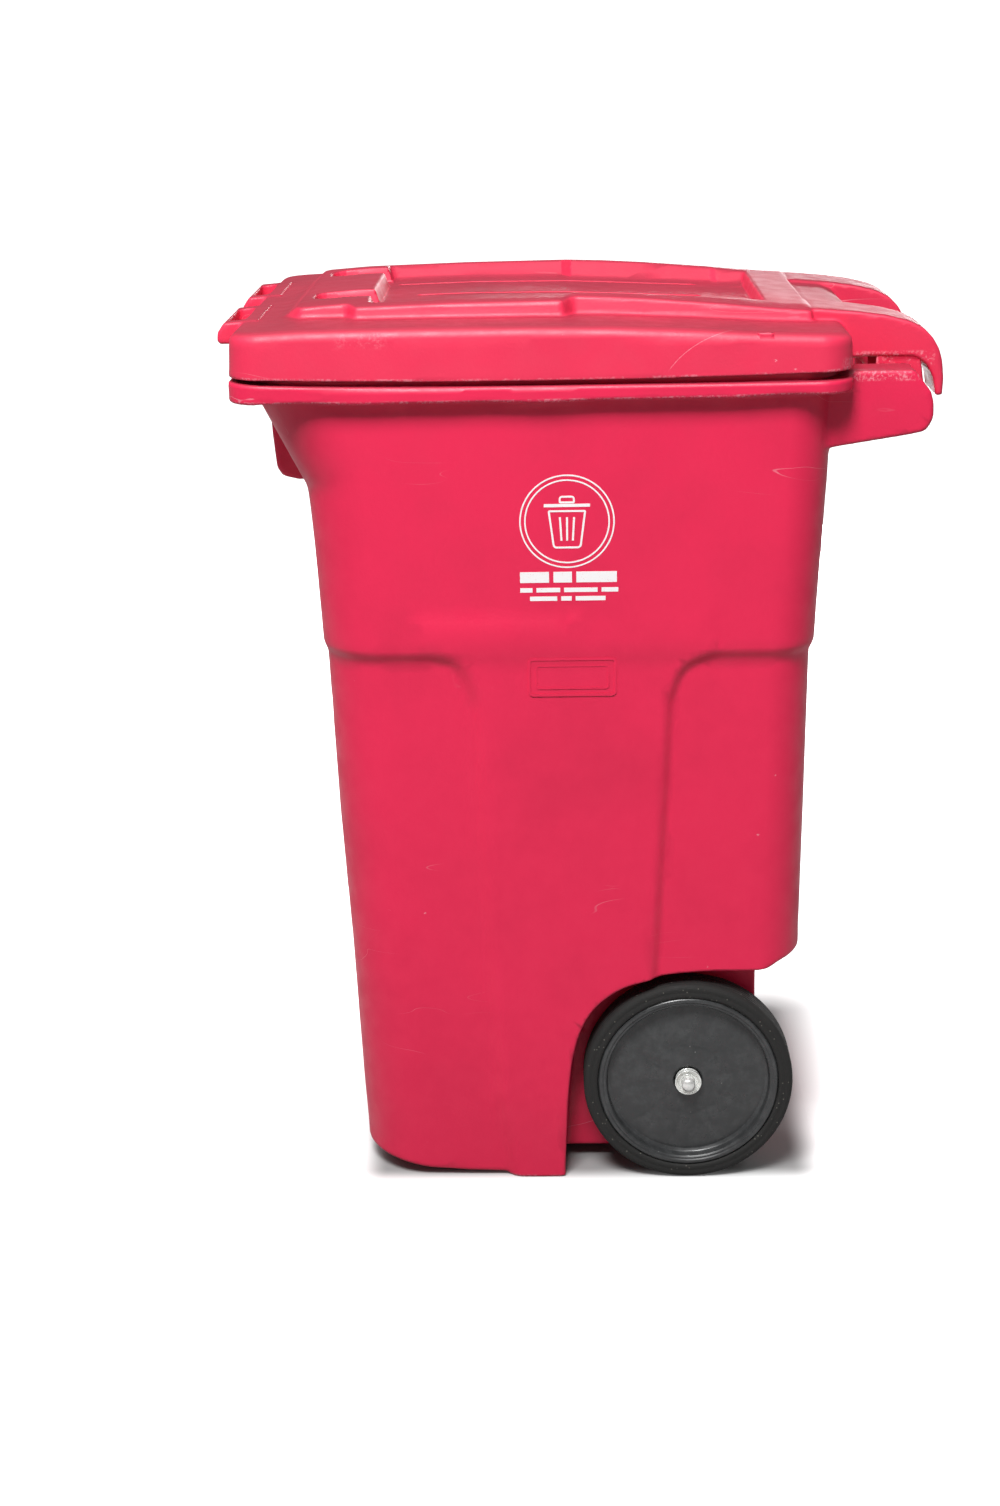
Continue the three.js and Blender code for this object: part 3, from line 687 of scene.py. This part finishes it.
def red_plastic(name, base, deeper, wear, scratch=None):
    """Rotomoulded polyethylene: fine orange-peel grain, pale chips, whitened edges and scratches, and
    painted shade with some dust darkening its upward faces.
    """
    m = Nodes(name)
    cloud = m.noise(5.0, 4.0, roughness=0.6)
    colour = m.mix(m.ramp(cloud, 0.35, 0.7), base, deeper)
    grain = m.noise(700.0, 3.0, roughness=0.65)
    colour = m.mix(m.ramp(grain, 0.62, 0.80, 0.0, 0.22), colour, PALE_GRAIN)
    colour = m.mix(m.ramp(grain, 0.36, 0.26, 0.0, 0.22), colour, DARK_GRAIN)

    near, chance = m.spots(26.0, m.stretched((1.0, 1.0, 1.6)))
    chips = m.math("MULTIPLY", m.ramp(near, 0.075, 0.03), m.ramp(chance, 0.80, 0.82))
    ragged = m.ramp(m.noise(420.0, 2.0), 0.46, 0.56)
    chips = m.math("MULTIPLY", chips, ragged)

    scratch_noise = m.noise(9.0, 1.0, m.stretched((1.0, 0.35, 2.4)), distortion=0.6)
    thin = m.math("ABSOLUTE", m.math("SUBTRACT", scratch_noise, 0.5))
    where = m.ramp(m.noise(7.0, 2.0), 0.60, 0.70)
    scratches = m.math("MULTIPLY", m.ramp(thin, 0.0016, 0.0004), where)

    edge = m.attribute("edge")
    rub = wear(m)
    patches = m.noise(30.0, 4.0, roughness=0.7)
    fine = m.noise(330.0, 3.0, roughness=0.7)
    along_edge = m.math("MULTIPLY", m.ramp(edge, 0.45, 0.9), m.ramp(patches, 0.56, 0.74, 0.0, 0.4))
    rubbed = m.math("MULTIPLY", rub, m.ramp(m.math("ADD", patches, fine), 0.92, 1.22))
    scuffs = m.math("MAXIMUM", along_edge, rubbed)
    scuffs = m.math("MULTIPLY", scuffs, m.ramp(fine, 0.38, 0.55, 0.35, 1.0))
    marks = m.math("MAXIMUM", m.math("MAXIMUM", chips, m.math("MULTIPLY", scratches, 0.6)), scuffs)
    if scratch:
        broken = m.ramp(fine, 0.3, 0.6, 0.25, 0.75)
        marks = m.math("MAXIMUM", marks, m.math("MULTIPLY", scratch(m), broken))
    colour = m.mix(m.math("MULTIPLY", marks, 0.85), colour, WORN)
    # Upward faces are darkened by painted shade, with some dust, so the tops don't look too bright. The
    # mask named dust carries it.
    upward = m.make("ShaderNodeSeparateXYZ", {"Vector": m.facing}).outputs[2]
    dust = m.all_of(m.ramp(upward, 0.50, 0.95), m.ramp(cloud, 0.2, 0.8, 0.64, 0.90))
    colour = m.mix(dust, colour, TOP_SHADE_AND_DUST)

    rough = m.ramp(m.noise(40.0, 3.0), 0.3, 0.7, 0.44, 0.54)
    rough = m.math("ADD", rough, m.math("MULTIPLY", marks, 0.2))
    peel = m.bump(m.noise(260.0, 2.0), 0.25, 0.0006)
    normal = m.bump(grain, 0.22, 0.00035, peel)
    normal = m.bump(marks, 0.3, -0.0004, normal)
    return m.finish(Base_Color=colour, Roughness=rough, Normal=normal, IOR=1.5)


def hub_plastic():
    m = Nodes("black_polypropylene")
    dust = m.noise(60.0, 4.0, roughness=0.7)
    colour = m.mix(m.ramp(dust, 0.4, 0.75), (0.030, 0.031, 0.032, 1.0), (0.052, 0.054, 0.055, 1.0))
    near, chance = m.spots(150.0)
    specks = m.math("MULTIPLY", m.ramp(near, 0.16, 0.08), m.ramp(chance, 0.93, 0.95))
    colour = m.mix(m.math("MULTIPLY", specks, 0.5), colour, (0.25, 0.25, 0.24, 1.0))
    rough = m.ramp(m.noise(35.0, 4.0), 0.3, 0.7, 0.26, 0.38)
    normal = m.bump(m.noise(500.0, 2.0), 0.12, 0.0003)
    return m.finish(Base_Color=colour, Roughness=rough, Normal=normal)


def tyre_rubber():
    m = Nodes("tyre_rubber")
    cloud = m.noise(45.0, 5.0, roughness=0.75)
    colour = m.mix(m.ramp(cloud, 0.35, 0.75), (0.007, 0.0068, 0.0064, 1.0), (0.017, 0.0162, 0.015, 1.0))
    near, chance = m.spots(230.0)
    specks = m.math("MULTIPLY", m.ramp(near, 0.26, 0.12), m.ramp(chance, 0.88, 0.90))
    colour = m.mix(m.math("MULTIPLY", specks, 0.55), colour, (0.20, 0.19, 0.16, 1.0))
    pits = m.noise(480.0, 4.0, roughness=0.75)
    rough = m.ramp(cloud, 0.3, 0.7, 0.72, 0.9)
    normal = m.bump(pits, 0.5, 0.0008)
    return m.finish(Base_Color=colour, Roughness=rough, Normal=normal)


def metal(name, light, dark, low_rough, high_rough):
    """Zinc or bare steel: dulled patches and fine marks."""
    m = Nodes(name)
    cloud = m.noise(70.0, 3.0, roughness=0.6)
    colour = m.mix(m.ramp(cloud, 0.35, 0.7), light, dark)
    rough = m.ramp(m.noise(160.0, 2.0), 0.3, 0.7, low_rough, high_rough)
    normal = m.bump(m.noise(600.0, 2.0), 0.06, 0.0001)
    return m.finish(Base_Color=colour, Roughness=rough, Normal=normal, Metallic=0.55)


def nylon():
    m = Nodes("black_nylon")
    colour = m.mix(m.noise(90.0, 3.0), (0.014, 0.014, 0.015, 1.0), (0.035, 0.035, 0.036, 1.0))
    rough = m.ramp(m.noise(150.0, 3.0), 0.3, 0.7, 0.38, 0.5)
    return m.finish(Base_Color=colour, Roughness=rough, Normal=m.bump(m.noise(600.0), 0.15, 0.0002))


def white_print():
    """Hot-stamped film, with pinholes where it didn't take on the grain."""
    m = Nodes("white_stamp")
    grain = m.noise(750.0, 3.0, roughness=0.65)
    colour = m.mix(m.ramp(grain, 0.63, 0.72, 0.0, 0.8), (0.93, 0.90, 0.91, 1.0), (0.82, 0.16, 0.24, 1.0))
    return m.finish(Base_Color=colour, Roughness=0.5, Normal=m.bump(grain, 0.2, 0.00035))


MATERIALS = {
    "body_plastic": red_plastic(
        "red_polyethylene", (0.80, 0.014, 0.078, 1.0), (0.71, 0.012, 0.068, 1.0), body_wear,
    ),
    "hub_plastic": hub_plastic(),
    "tyre_rubber": tyre_rubber(),
    "zinc_steel": metal("bare_steel", (0.84, 0.84, 0.82, 1.0), (0.66, 0.66, 0.64, 1.0), 0.28, 0.42),
    "zinc_plate": metal("zinc_plate", (0.92, 0.93, 0.90, 1.0), (0.76, 0.77, 0.74, 1.0), 0.22, 0.36),
    "black_nylon": nylon(),
}


LID_PLASTIC = red_plastic(
    "red_polyethylene_lid", (0.79, 0.028, 0.086, 1.0), (0.71, 0.024, 0.077, 1.0), lid_wear, lid_scratch,
)


def place(piece, body_name, slot, replaced=(), material=None):
    """Rides on a body, takes the slot's material, and stands for CAD nodes."""
    piece.data.materials.clear()
    piece.data.materials.append(material or MATERIALS[slot])
    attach(piece, body_name)
    if replaced:
        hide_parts(*replaced)


# ----------------------------------------------------------- moulded shells


place(moulded_body(), "bin", "body_plastic", ["body_shell"])
place(moulded_lid(), "lid", "body_plastic", ["lid_shell"], LID_PLASTIC)


# ------------------------------------------------------------ turned pieces


def mesh_piece(name, points, faces):
    mesh = bpy.data.meshes.new(name)
    mesh.from_pydata((np.asarray(points) * MM).tolist(), [], [tuple(map(int, face)) for face in faces])
    return linked(name, mesh)


def facing_out(piece, welded=False):
    """Turns all faces outwards, and first welds points that coincide if asked."""
    clean = bmesh.new()
    clean.from_mesh(piece.data)
    if welded:
        bmesh.ops.remove_doubles(clean, verts=clean.verts, dist=1e-6)
        bmesh.ops.dissolve_degenerate(clean, edges=clean.edges, dist=1e-7)
    bmesh.ops.recalc_face_normals(clean, faces=clean.faces)
    clean.to_mesh(piece.data)
    clean.free()


def turned(name, outline, centre, sides, side=1, shape=None):
    """A closed outline of [radius, x] points turned round a line along X.

    The points go round anticlockwise with the radius to the right. side -1 makes
    the left copy. shape moves points along X by their radius and angle.
    """
    outline = np.asarray(outline, float)
    angles = np.linspace(0.0, 2.0 * np.pi, sides, endpoint=False)
    radius, angle = np.meshgrid(outline[:, 0], angles)
    along = np.repeat(outline[None, :, 1], sides, axis=0)
    if shape:
        along = along + shape(radius, angle, along)
    points = np.stack([
        side * along, centre[0] + radius * np.cos(angle), centre[1] + radius * np.sin(angle),
    ], axis=-1).reshape(-1, 3)
    count = len(outline)
    faces = []
    for i in range(sides):
        for j in range(count):
            a = i * count + j
            b = i * count + (j + 1) % count
            c = ((i + 1) % sides) * count + (j + 1) % count
            d = ((i + 1) % sides) * count + j
            faces.append((a, b, c, d) if side > 0 else (d, c, b, a))
    piece = mesh_piece(name, points, faces)
    facing_out(piece, welded=True)
    piece.data.shade_smooth()
    return piece


def fade_between(value, low, high, soft):
    """1 between two values, fading to 0 where it reaches either of them."""
    return np.clip((value - low) / soft, 0.0, 1.0) * np.clip((high - value) / soft, 0.0, 1.0)


RIBS = 10                               # behind the disc
RIB_STEP = 2.0 * np.pi / RIBS
RIB_RING = 48.0                         # radius of the ribs' ring at its corners


def sink_marks(radius, angle, along):
    """The disc's outer face dips a little over the ribs and the ring behind it."""
    on_face = (along > 254.0) * fade_between(radius, 22.0, 92.0, 4.0)
    off_rib = np.abs((angle / RIB_STEP + 0.3) % 1.0 - 0.5) * RIB_STEP * radius
    web = np.exp(-((off_rib / 3.2) ** 2)) * fade_between(radius, 30.0, 86.0, 10.0)
    from_corner = (angle + 0.19) % RIB_STEP - RIB_STEP / 2.0
    chord = RIB_RING * np.cos(RIB_STEP / 2.0) / np.cos(from_corner)
    ring = np.exp(-(((radius - chord) / 2.6) ** 2))
    return -on_face * (0.9 * web + 0.7 * ring)


def disc_face(start, end, count):
    """Points up the disc's cone, close enough together to carry its sink marks."""
    return [tuple(p) for p in np.linspace(start, end, count)]


HUB = [
    *rounded([
        (11.7, 219.0), (22.0, 219.0, 1.5), (24.0, 254.0, 4), (94.0, 247.0, 5), (97.0, 227.5, 4),
        (109.7, 227.5, 1.5), (109.7, 266.8, 1.2), (107.6, 268.9, 1.6), (104.6, 269.3, 1.5),
        (102.6, 267.6, 1.2), (101.2, 268.0, 0.8), (99.2, 266.4, 1.0), (98.2, 257.6, 3),
        (94.5, 255.3, 2),
    ])[:-1],
    *disc_face((93.5, 255.4), (18.6, 261.6), 34),
    (17.6, 261.3), (17.0, 260.4), (17.0, 258.0), (11.7, 258.0),
]
TREAD_LINES = 6


def tread():
    """Shallow lines round the tread, from the outer shoulder to the inner one."""
    result = []
    for x in np.linspace(263.0, 230.0, TREAD_LINES):
        result += [(127.0, x + 1.0), (126.4, x + 0.5), (126.4, x - 0.1), (127.0, x - 0.6)]
    return result


TYRE = [
    (110.1, 225.8), (112.0, 224.0), (116.0, 223.0), (121.0, 223.4), (124.4, 225.0),
    (126.3, 227.6), *reversed(tread()), (126.6, 265.2), (125.2, 267.6),
    (122.8, 269.1), (120.0, 269.7), (118.4, 269.2), (116.6, 269.2), (115.0, 269.9),
    (112.2, 269.7), (110.1, 268.6),
]
CAP = rounded([
    (8.24, 261.4), (13.0, 261.4, 1.5), (16.0, 265.4, 2.5), (16.0, 270.0, 0.7), (14.9, 270.0, 0.5),
    (13.2, 266.8, 1.0), (10.8, 265.6, 0.8), (9.6, 267.2, 0.8), (8.24, 267.2, 0.3),
])
OUTER_WASHER = rounded([(8.24, 258.4), (15.0, 258.4, 0.4), (15.0, 261.0, 0.6), (8.24, 261.0, 0.4)])
INNER_WASHER = rounded([(8.24, 215.3), (16.0, 215.3, 0.4), (16.0, 218.6, 0.6), (8.24, 218.6, 0.4)])
SLEEVE = rounded([(8.24, 219.4), (11.4, 219.4, 0.4), (11.4, 258.0, 0.4), (8.24, 258.0, 0.3)])
AXLE_BUSH = rounded([
    (8.24, 178.0, 0.6), (11.7, 178.0, 0.8), (11.7, 212.3), (17.0, 212.3, 0.5),
    (17.0, 215.0, 1.0), (8.24, 215.0, 0.6),
])
LIFT_BUSH = rounded([(13.0, 126.0, 0.6), (15.6, 126.0, 1.2), (15.6, 146.0, 0.6), (13.0, 146.0)])
HINGE_PIN = rounded([
    (0.0, 98.5), (6.0, 98.5, 1.6), (6.0, 102.5, 1.0), (4.5, 103.6, 0.6), (4.5, 200.4, 0.5),
    (3.2, 202.0, 0.6), (0.0, 202.0),
])
PIN_NUT = rounded([(4.8, 195.5), (7.0, 195.5, 0.6), (6.6, 198.5, 0.6), (4.8, 198.5, 0.4)])

PAIRS = [
    ("wheel_hub", HUB, AXLE, 160, "hub_plastic", "wheel", sink_marks),
    ("tyre", TYRE, AXLE, 160, "tyre_rubber", "wheel", None),
    ("hub_sleeve", SLEEVE, AXLE, 48, "black_nylon", "wheel", None),
    ("axle_cap", CAP, AXLE, 64, "zinc_plate", "axle", None),
    ("outer_washer", OUTER_WASHER, AXLE, 64, "zinc_plate", "axle", None),
    ("inner_washer", INNER_WASHER, AXLE, 64, "zinc_plate", "axle", None),
    ("axle_bush", AXLE_BUSH, AXLE, 64, "black_nylon", "bin", None),
    ("lift_bar_bush", LIFT_BUSH, LIFT, 64, "black_nylon", "bin", None),
    ("hinge_pin", HINGE_PIN, PIN, 40, "black_nylon", "lid", None),
    ("hinge_pin_nut", PIN_NUT, PIN, 40, "zinc_plate", "lid", None),
]
for name, outline, centre, sides, slot, body_name, shape in PAIRS:
    for side, hand in ((1, "right"), (-1, "left")):
        piece = turned(f"detailed_{name}_{hand}", outline, centre, sides, side, shape)
        rider = f"wheel_{hand}" if body_name == "wheel" else body_name
        place(piece, rider, slot, [f"{name}_{hand}"])


def bar(name, radius, end, chamfer, centre, sides):
    """A round bar along X, the same at both ends, with domed chamfers."""
    right = [(radius, end - chamfer), (0.8 * radius, end - 0.5 * chamfer)]
    right += [(0.45 * radius, end - 0.15 * chamfer), (0.0, end)]
    left = [(r, -x) for r, x in reversed(right)]
    return turned(name, left + right, centre, sides)


axle = bar("detailed_axle", 7.94, 281.0, 3.0, AXLE, 64)
place(axle, "axle", "zinc_steel", ["axle"])
lift_bar = bar("detailed_lift_bar", 12.7, 147.0, 2.2, LIFT, 64)
place(lift_bar, "lift_bar", "zinc_steel", ["lift_bar"])

# ------------------------------------------------------- emblem, plate, ribs


def ring_points(count, radius):
    """A circle round the origin, anticlockwise."""
    angles = np.linspace(0.0, 2.0 * np.pi, count, endpoint=False)
    return [(radius * np.cos(a), radius * np.sin(a)) for a in angles]


def strip(line, width, surface_at, low, high, closed=True):
    """A flat strip of even width along a line of (y, z) points, between two heights above a surface.

    Gives the points and faces of one closed solid.
    """
    line = np.asarray(line, float)
    before = np.roll(line, 1, axis=0)
    after = np.roll(line, -1, axis=0)
    if not closed:
        before[0] = line[0]
        after[-1] = line[-1]
    along = after - before
    along /= np.linalg.norm(along, axis=1)[:, None]
    normal = np.stack([-along[:, 1], along[:, 0]], axis=1)
    points = []
    for offset, height in ((-0.5, low), (-0.5, high), (0.5, high), (0.5, low)):
        flat = line + normal * width * offset
        points.append(np.column_stack([surface_at(flat[:, 0], flat[:, 1]) + height, flat]))
    count = len(line)
    points = np.concatenate(points)
    faces = []
    for i in range(count if closed else count - 1):
        j = (i + 1) % count
        for k in range(4):
            m = (k + 1) % 4
            faces.append((k * count + i, k * count + j, m * count + j, m * count + i))
    if not closed:
        faces.append(tuple(k * count for k in range(4)))
        faces.append(tuple(k * count + count - 1 for k in reversed(range(4))))
    return points, faces


def gathered(name, parts):
    """One mesh from several closed solids."""
    points = []
    faces = []
    start = 0
    for part_points, part_faces in parts:
        points.append(part_points)
        faces += [tuple(start + i for i in face) for face in part_faces]
        start += len(part_points)
    piece = mesh_piece(name, np.concatenate(points), faces)
    facing_out(piece)
    return piece


def on_side(y, z):
    """The body's flat side wall above the ledge, and down the strip between its panels."""
    return side_at(z) + 0.0 * y


EMBLEM = (-20.0, 826.0)      # Y and Z of its middle
PRINT = (-0.2, 0.22)         # heights of the film's two faces
RING_LINE = 1.7              # widths of the printed lines
BUCKET_LINE = 2.2
LID_LINE = 3.6


def at_emblem(line):
    return [(a + EMBLEM[0], b + EMBLEM[1]) for a, b in line]


def bars_in_a_row(z, height, first, lengths, gap):
    """Plain printed bars side by side, in place of a line of words."""
    parts = []
    y = first
    for length in lengths:
        parts.append(strip([(y, z), (y + length, z)], height, on_side, *PRINT, closed=False))
        y += length + gap
    return parts


def emblem():
    """A generic stamped badge: a pictogram of a lidded container in a double ring, over plain bars."""
    parts = []
    for radius in (53.0, 47.5):
        ring = at_emblem(ring_points(120, radius))
        parts.append(strip(ring, RING_LINE, on_side, *PRINT))
    bucket = rounded([(-15.0, -30.0, 4), (15.0, -30.0, 4), (20.5, 12.0, 1), (-20.5, 12.0, 1)])
    parts.append(strip(at_emblem(bucket), BUCKET_LINE, on_side, *PRINT))
    lid_line = at_emblem([(-26.0, 18.5), (26.0, 18.5)])
    parts.append(strip(lid_line, LID_LINE, on_side, *PRINT, closed=False))
    handle = rounded([(-8.0, 22.0, 1), (8.0, 22.0, 1), (8.0, 28.5, 3), (-8.0, 28.5, 3)])
    parts.append(strip(at_emblem(handle), BUCKET_LINE, on_side, *PRINT))
    for across in (-8.0, 0.0, 8.0):
        slot_line = at_emblem([(across * 0.8, -22.0), (across, 5.0)])
        parts.append(strip(slot_line, BUCKET_LINE, on_side, *PRINT, closed=False))
    parts += bars_in_a_row(761.5, 12.6, -74.0, (33.0, 21.0, 46.0), 5.0)
    parts += bars_in_a_row(746.5, 5.2, -74.0, (14.0, 27.0, 38.0, 19.0), 4.5)
    parts += bars_in_a_row(736.5, 5.2, -63.0, (31.0, 12.0, 34.0), 4.5)
    return parts


def mirrored_parts(parts):
    return [(points * np.array((-1.0, 1.0, 1.0)), faces) for points, faces in parts]


stamp = gathered("side_emblem", emblem())
place(stamp, "bin", "body_plastic", material=white_print())


def plate():
    """A raised blank name plate: a rounded frame round a lower field."""
    frame_line = rounded([(-65.0, 621.5, 5), (34.0, 621.5, 5), (34.0, 664.5, 5), (-65.0, 664.5, 5)])
    field_line = rounded([(-57.0, 629.5, 4), (26.0, 629.5, 4), (26.0, 656.5, 4), (-57.0, 656.5, 4)])
    return [strip(frame_line, 2.6, on_side, -0.5, 1.1), strip(field_line, 1.8, on_side, -0.5, 0.7)]


plates = gathered("raised_plates", plate() + mirrored_parts(plate()))
place(plates, "bin", "body_plastic")


# Y and Z along the sunk panel's floor.
FLOOR_LINE = (
    (-329.0, -130.0, -14.0, 86.0, 166.0, 232.5),
    (1045.0, 1050.0, 1049.4, 1044.8, 1041.2, 1037.5),
)


def lid_rib(x, front, back):
    """A low rounded rib along the sunk panel."""
    ys = np.linspace(front, back, 60)
    zs = np.interp(ys, *FLOOR_LINE)
    fade = np.sqrt(np.clip(np.minimum(ys - front, back - ys) / 6.0, 0.0, 1.0))
    sections = []
    for t in np.linspace(0.0, np.pi, 7):
        across = x + 2.2 * np.cos(t) * fade
        height = zs + 1.7 * np.sin(t) * fade - 0.15
        sections.append(np.column_stack([across, ys, height]))
    rings = len(sections)
    count = len(ys)
    faces = [
        (k * count + i, k * count + i + 1, ((k + 1) % rings) * count + i + 1, ((k + 1) % rings) * count + i)
        for k in range(rings) for i in range(count - 1)
    ]
    return np.concatenate(sections), faces


LID_RIBS = ((0.0, -199.0), (120.0, -229.0), (-120.0, -229.0))   # X and front end of each
LID_RIBS_BACK = 148.0
lid_ribs = gathered("lid_ribs", [lid_rib(x, front, LID_RIBS_BACK) for x, front in LID_RIBS])
lid_ribs.data.shade_smooth()
place(lid_ribs, "lid", "body_plastic", material=LID_PLASTIC)

# --------------------------------------------------------------------- stage

CAMERA_PLACE = (3.038, -0.0303, 1.3952)
CAMERA_PITCH = np.radians(17.0)
CAMERA_YAW = np.radians(1.46)
CAMERA_ROLL = np.radians(-1.07)
CAMERA_LENS = 59.28


def camera():
    data = bpy.data.cameras.new("camera")
    data.lens = CAMERA_LENS
    data.sensor_width = 36.0
    data.clip_end = 100.0
    view = linked("camera", data)
    level = Vector((-np.cos(CAMERA_YAW), -np.sin(CAMERA_YAW), 0.0))
    forward = level * np.cos(CAMERA_PITCH) - Vector((0, 0, 1)) * np.sin(CAMERA_PITCH)
    right = forward.cross(Vector((0, 0, 1))).normalized()
    up = right.cross(forward)
    rolled_right = right * np.cos(CAMERA_ROLL) + up * np.sin(CAMERA_ROLL)
    rolled_up = up * np.cos(CAMERA_ROLL) - right * np.sin(CAMERA_ROLL)
    turn = Matrix((rolled_right, rolled_up, -forward)).transposed().to_4x4()
    view.matrix_world = Matrix.Translation(CAMERA_PLACE) @ turn
    bpy.context.scene.camera = view


camera()
bpy.context.scene.view_settings.view_transform = "Standard"


def studio_world():
    """White behind the object, and a softer even light from all round."""
    world = bpy.data.worlds.new("white_room")
    bpy.context.scene.world = world
    world.use_nodes = True
    tree = world.node_tree
    soft = tree.nodes["Background"]
    soft.inputs["Color"].default_value = (1.0, 1.0, 1.0, 1.0)
    soft.inputs["Strength"].default_value = 0.20
    seen = tree.nodes.new("ShaderNodeBackground")
    seen.inputs["Color"].default_value = (1.0, 1.0, 1.0, 1.0)
    seen.inputs["Strength"].default_value = 1.2
    mix = tree.nodes.new("ShaderNodeMixShader")
    path = tree.nodes.new("ShaderNodeLightPath")
    tree.links.new(path.outputs["Is Camera Ray"], mix.inputs["Fac"])
    tree.links.new(soft.outputs[0], mix.inputs[1])
    tree.links.new(seen.outputs[0], mix.inputs[2])
    tree.links.new(mix.outputs[0], tree.nodes["World Output"].inputs["Surface"])


# The floor's darker patch round the feet is a painted shadow, and its glow is painted light that fades the
# shadow out.
SHADE = 0.045            # metres past the object's feet over which the floor turns pale
GLOW = 0.13              # and over which it turns fully white
GLOSSY_SHARE = 0.3       # how much of its bright look the floor shows to reflections


def studio_floor():
    """A painted shadow, darker under the object, and a painted glow that turns the floor white away from
    it. Other light meets a plain grey floor.
    """
    reach = 60.0
    mesh = bpy.data.meshes.new("floor")
    corners = [(-reach, -reach, 0), (reach, -reach, 0), (reach, reach, 0), (-reach, reach, 0)]
    mesh.from_pydata(corners, [], [(0, 1, 2, 3)])
    floor = linked("floor", mesh)
    m = Nodes("pale_floor")
    rays = m.make("ShaderNodeLightPath").outputs
    path = m.math("ADD", rays["Is Camera Ray"], m.math("MULTIPLY", rays["Is Glossy Ray"], GLOSSY_SHARE))
    part = m.make("ShaderNodeSeparateXYZ", {"Vector": m.place}).outputs
    half_width, half_depth = 0.24, 0.25
    beyond = [
        m.math("MAXIMUM", m.math("SUBTRACT", m.math("ABSOLUTE", axis), half), 0.0)
        for axis, half in ((part[0], half_width), (part[1], half_depth))
    ]
    away = m.math("SQRT", m.math("ADD", *(m.math("MULTIPLY", d, d) for d in beyond)))
    # painted shadow: the floor's colour darkens towards the object's footprint
    near = m.mix(m.ramp(away, 0.0, SHADE), (0.30, 0.30, 0.30, 1.0), (0.90, 0.90, 0.90, 1.0))
    colour = m.mix(path, (0.22, 0.22, 0.22, 1.0), near)
    # painted light: the floor glows, not at all at the footprint and fully away from it
    painted_glow = m.math("MULTIPLY", m.ramp(away, 0.0, GLOW, 0.0, 1.1), path)
    white = (1.0, 1.0, 1.0, 1.0)
    floor.data.materials.append(m.finish(
        Base_Color=colour, Roughness=0.9, Emission_Color=white, Emission_Strength=painted_glow,
    ))


def softbox(name, place_at, size, power):
    light = bpy.data.lights.new(name, "AREA")
    light.shape = "SQUARE"
    light.size = size
    light.energy = power
    holder = linked(name, light)
    holder.location = place_at
    aim = Vector((0.0, 0.0, 0.6)) - holder.location
    holder.rotation_euler = aim.to_track_quat("-Z", "Y").to_euler()
    holder.visible_camera = False


studio_world()
studio_floor()
softbox("key_light", (2.7, -0.65, 4.4), 1.5, 292.0)
softbox("front_light", (0.8, -3.2, 4.2), 2.0, 28.0)
softbox("back_light", (-0.8, 3.2, 4.2), 2.0, 10.0)
softbox("far_light", (-2.6, -0.5, 4.6), 2.2, 8.0)
softbox("low_far_light", (-3.6, 0.6, 0.75), 1.6, 75.0)
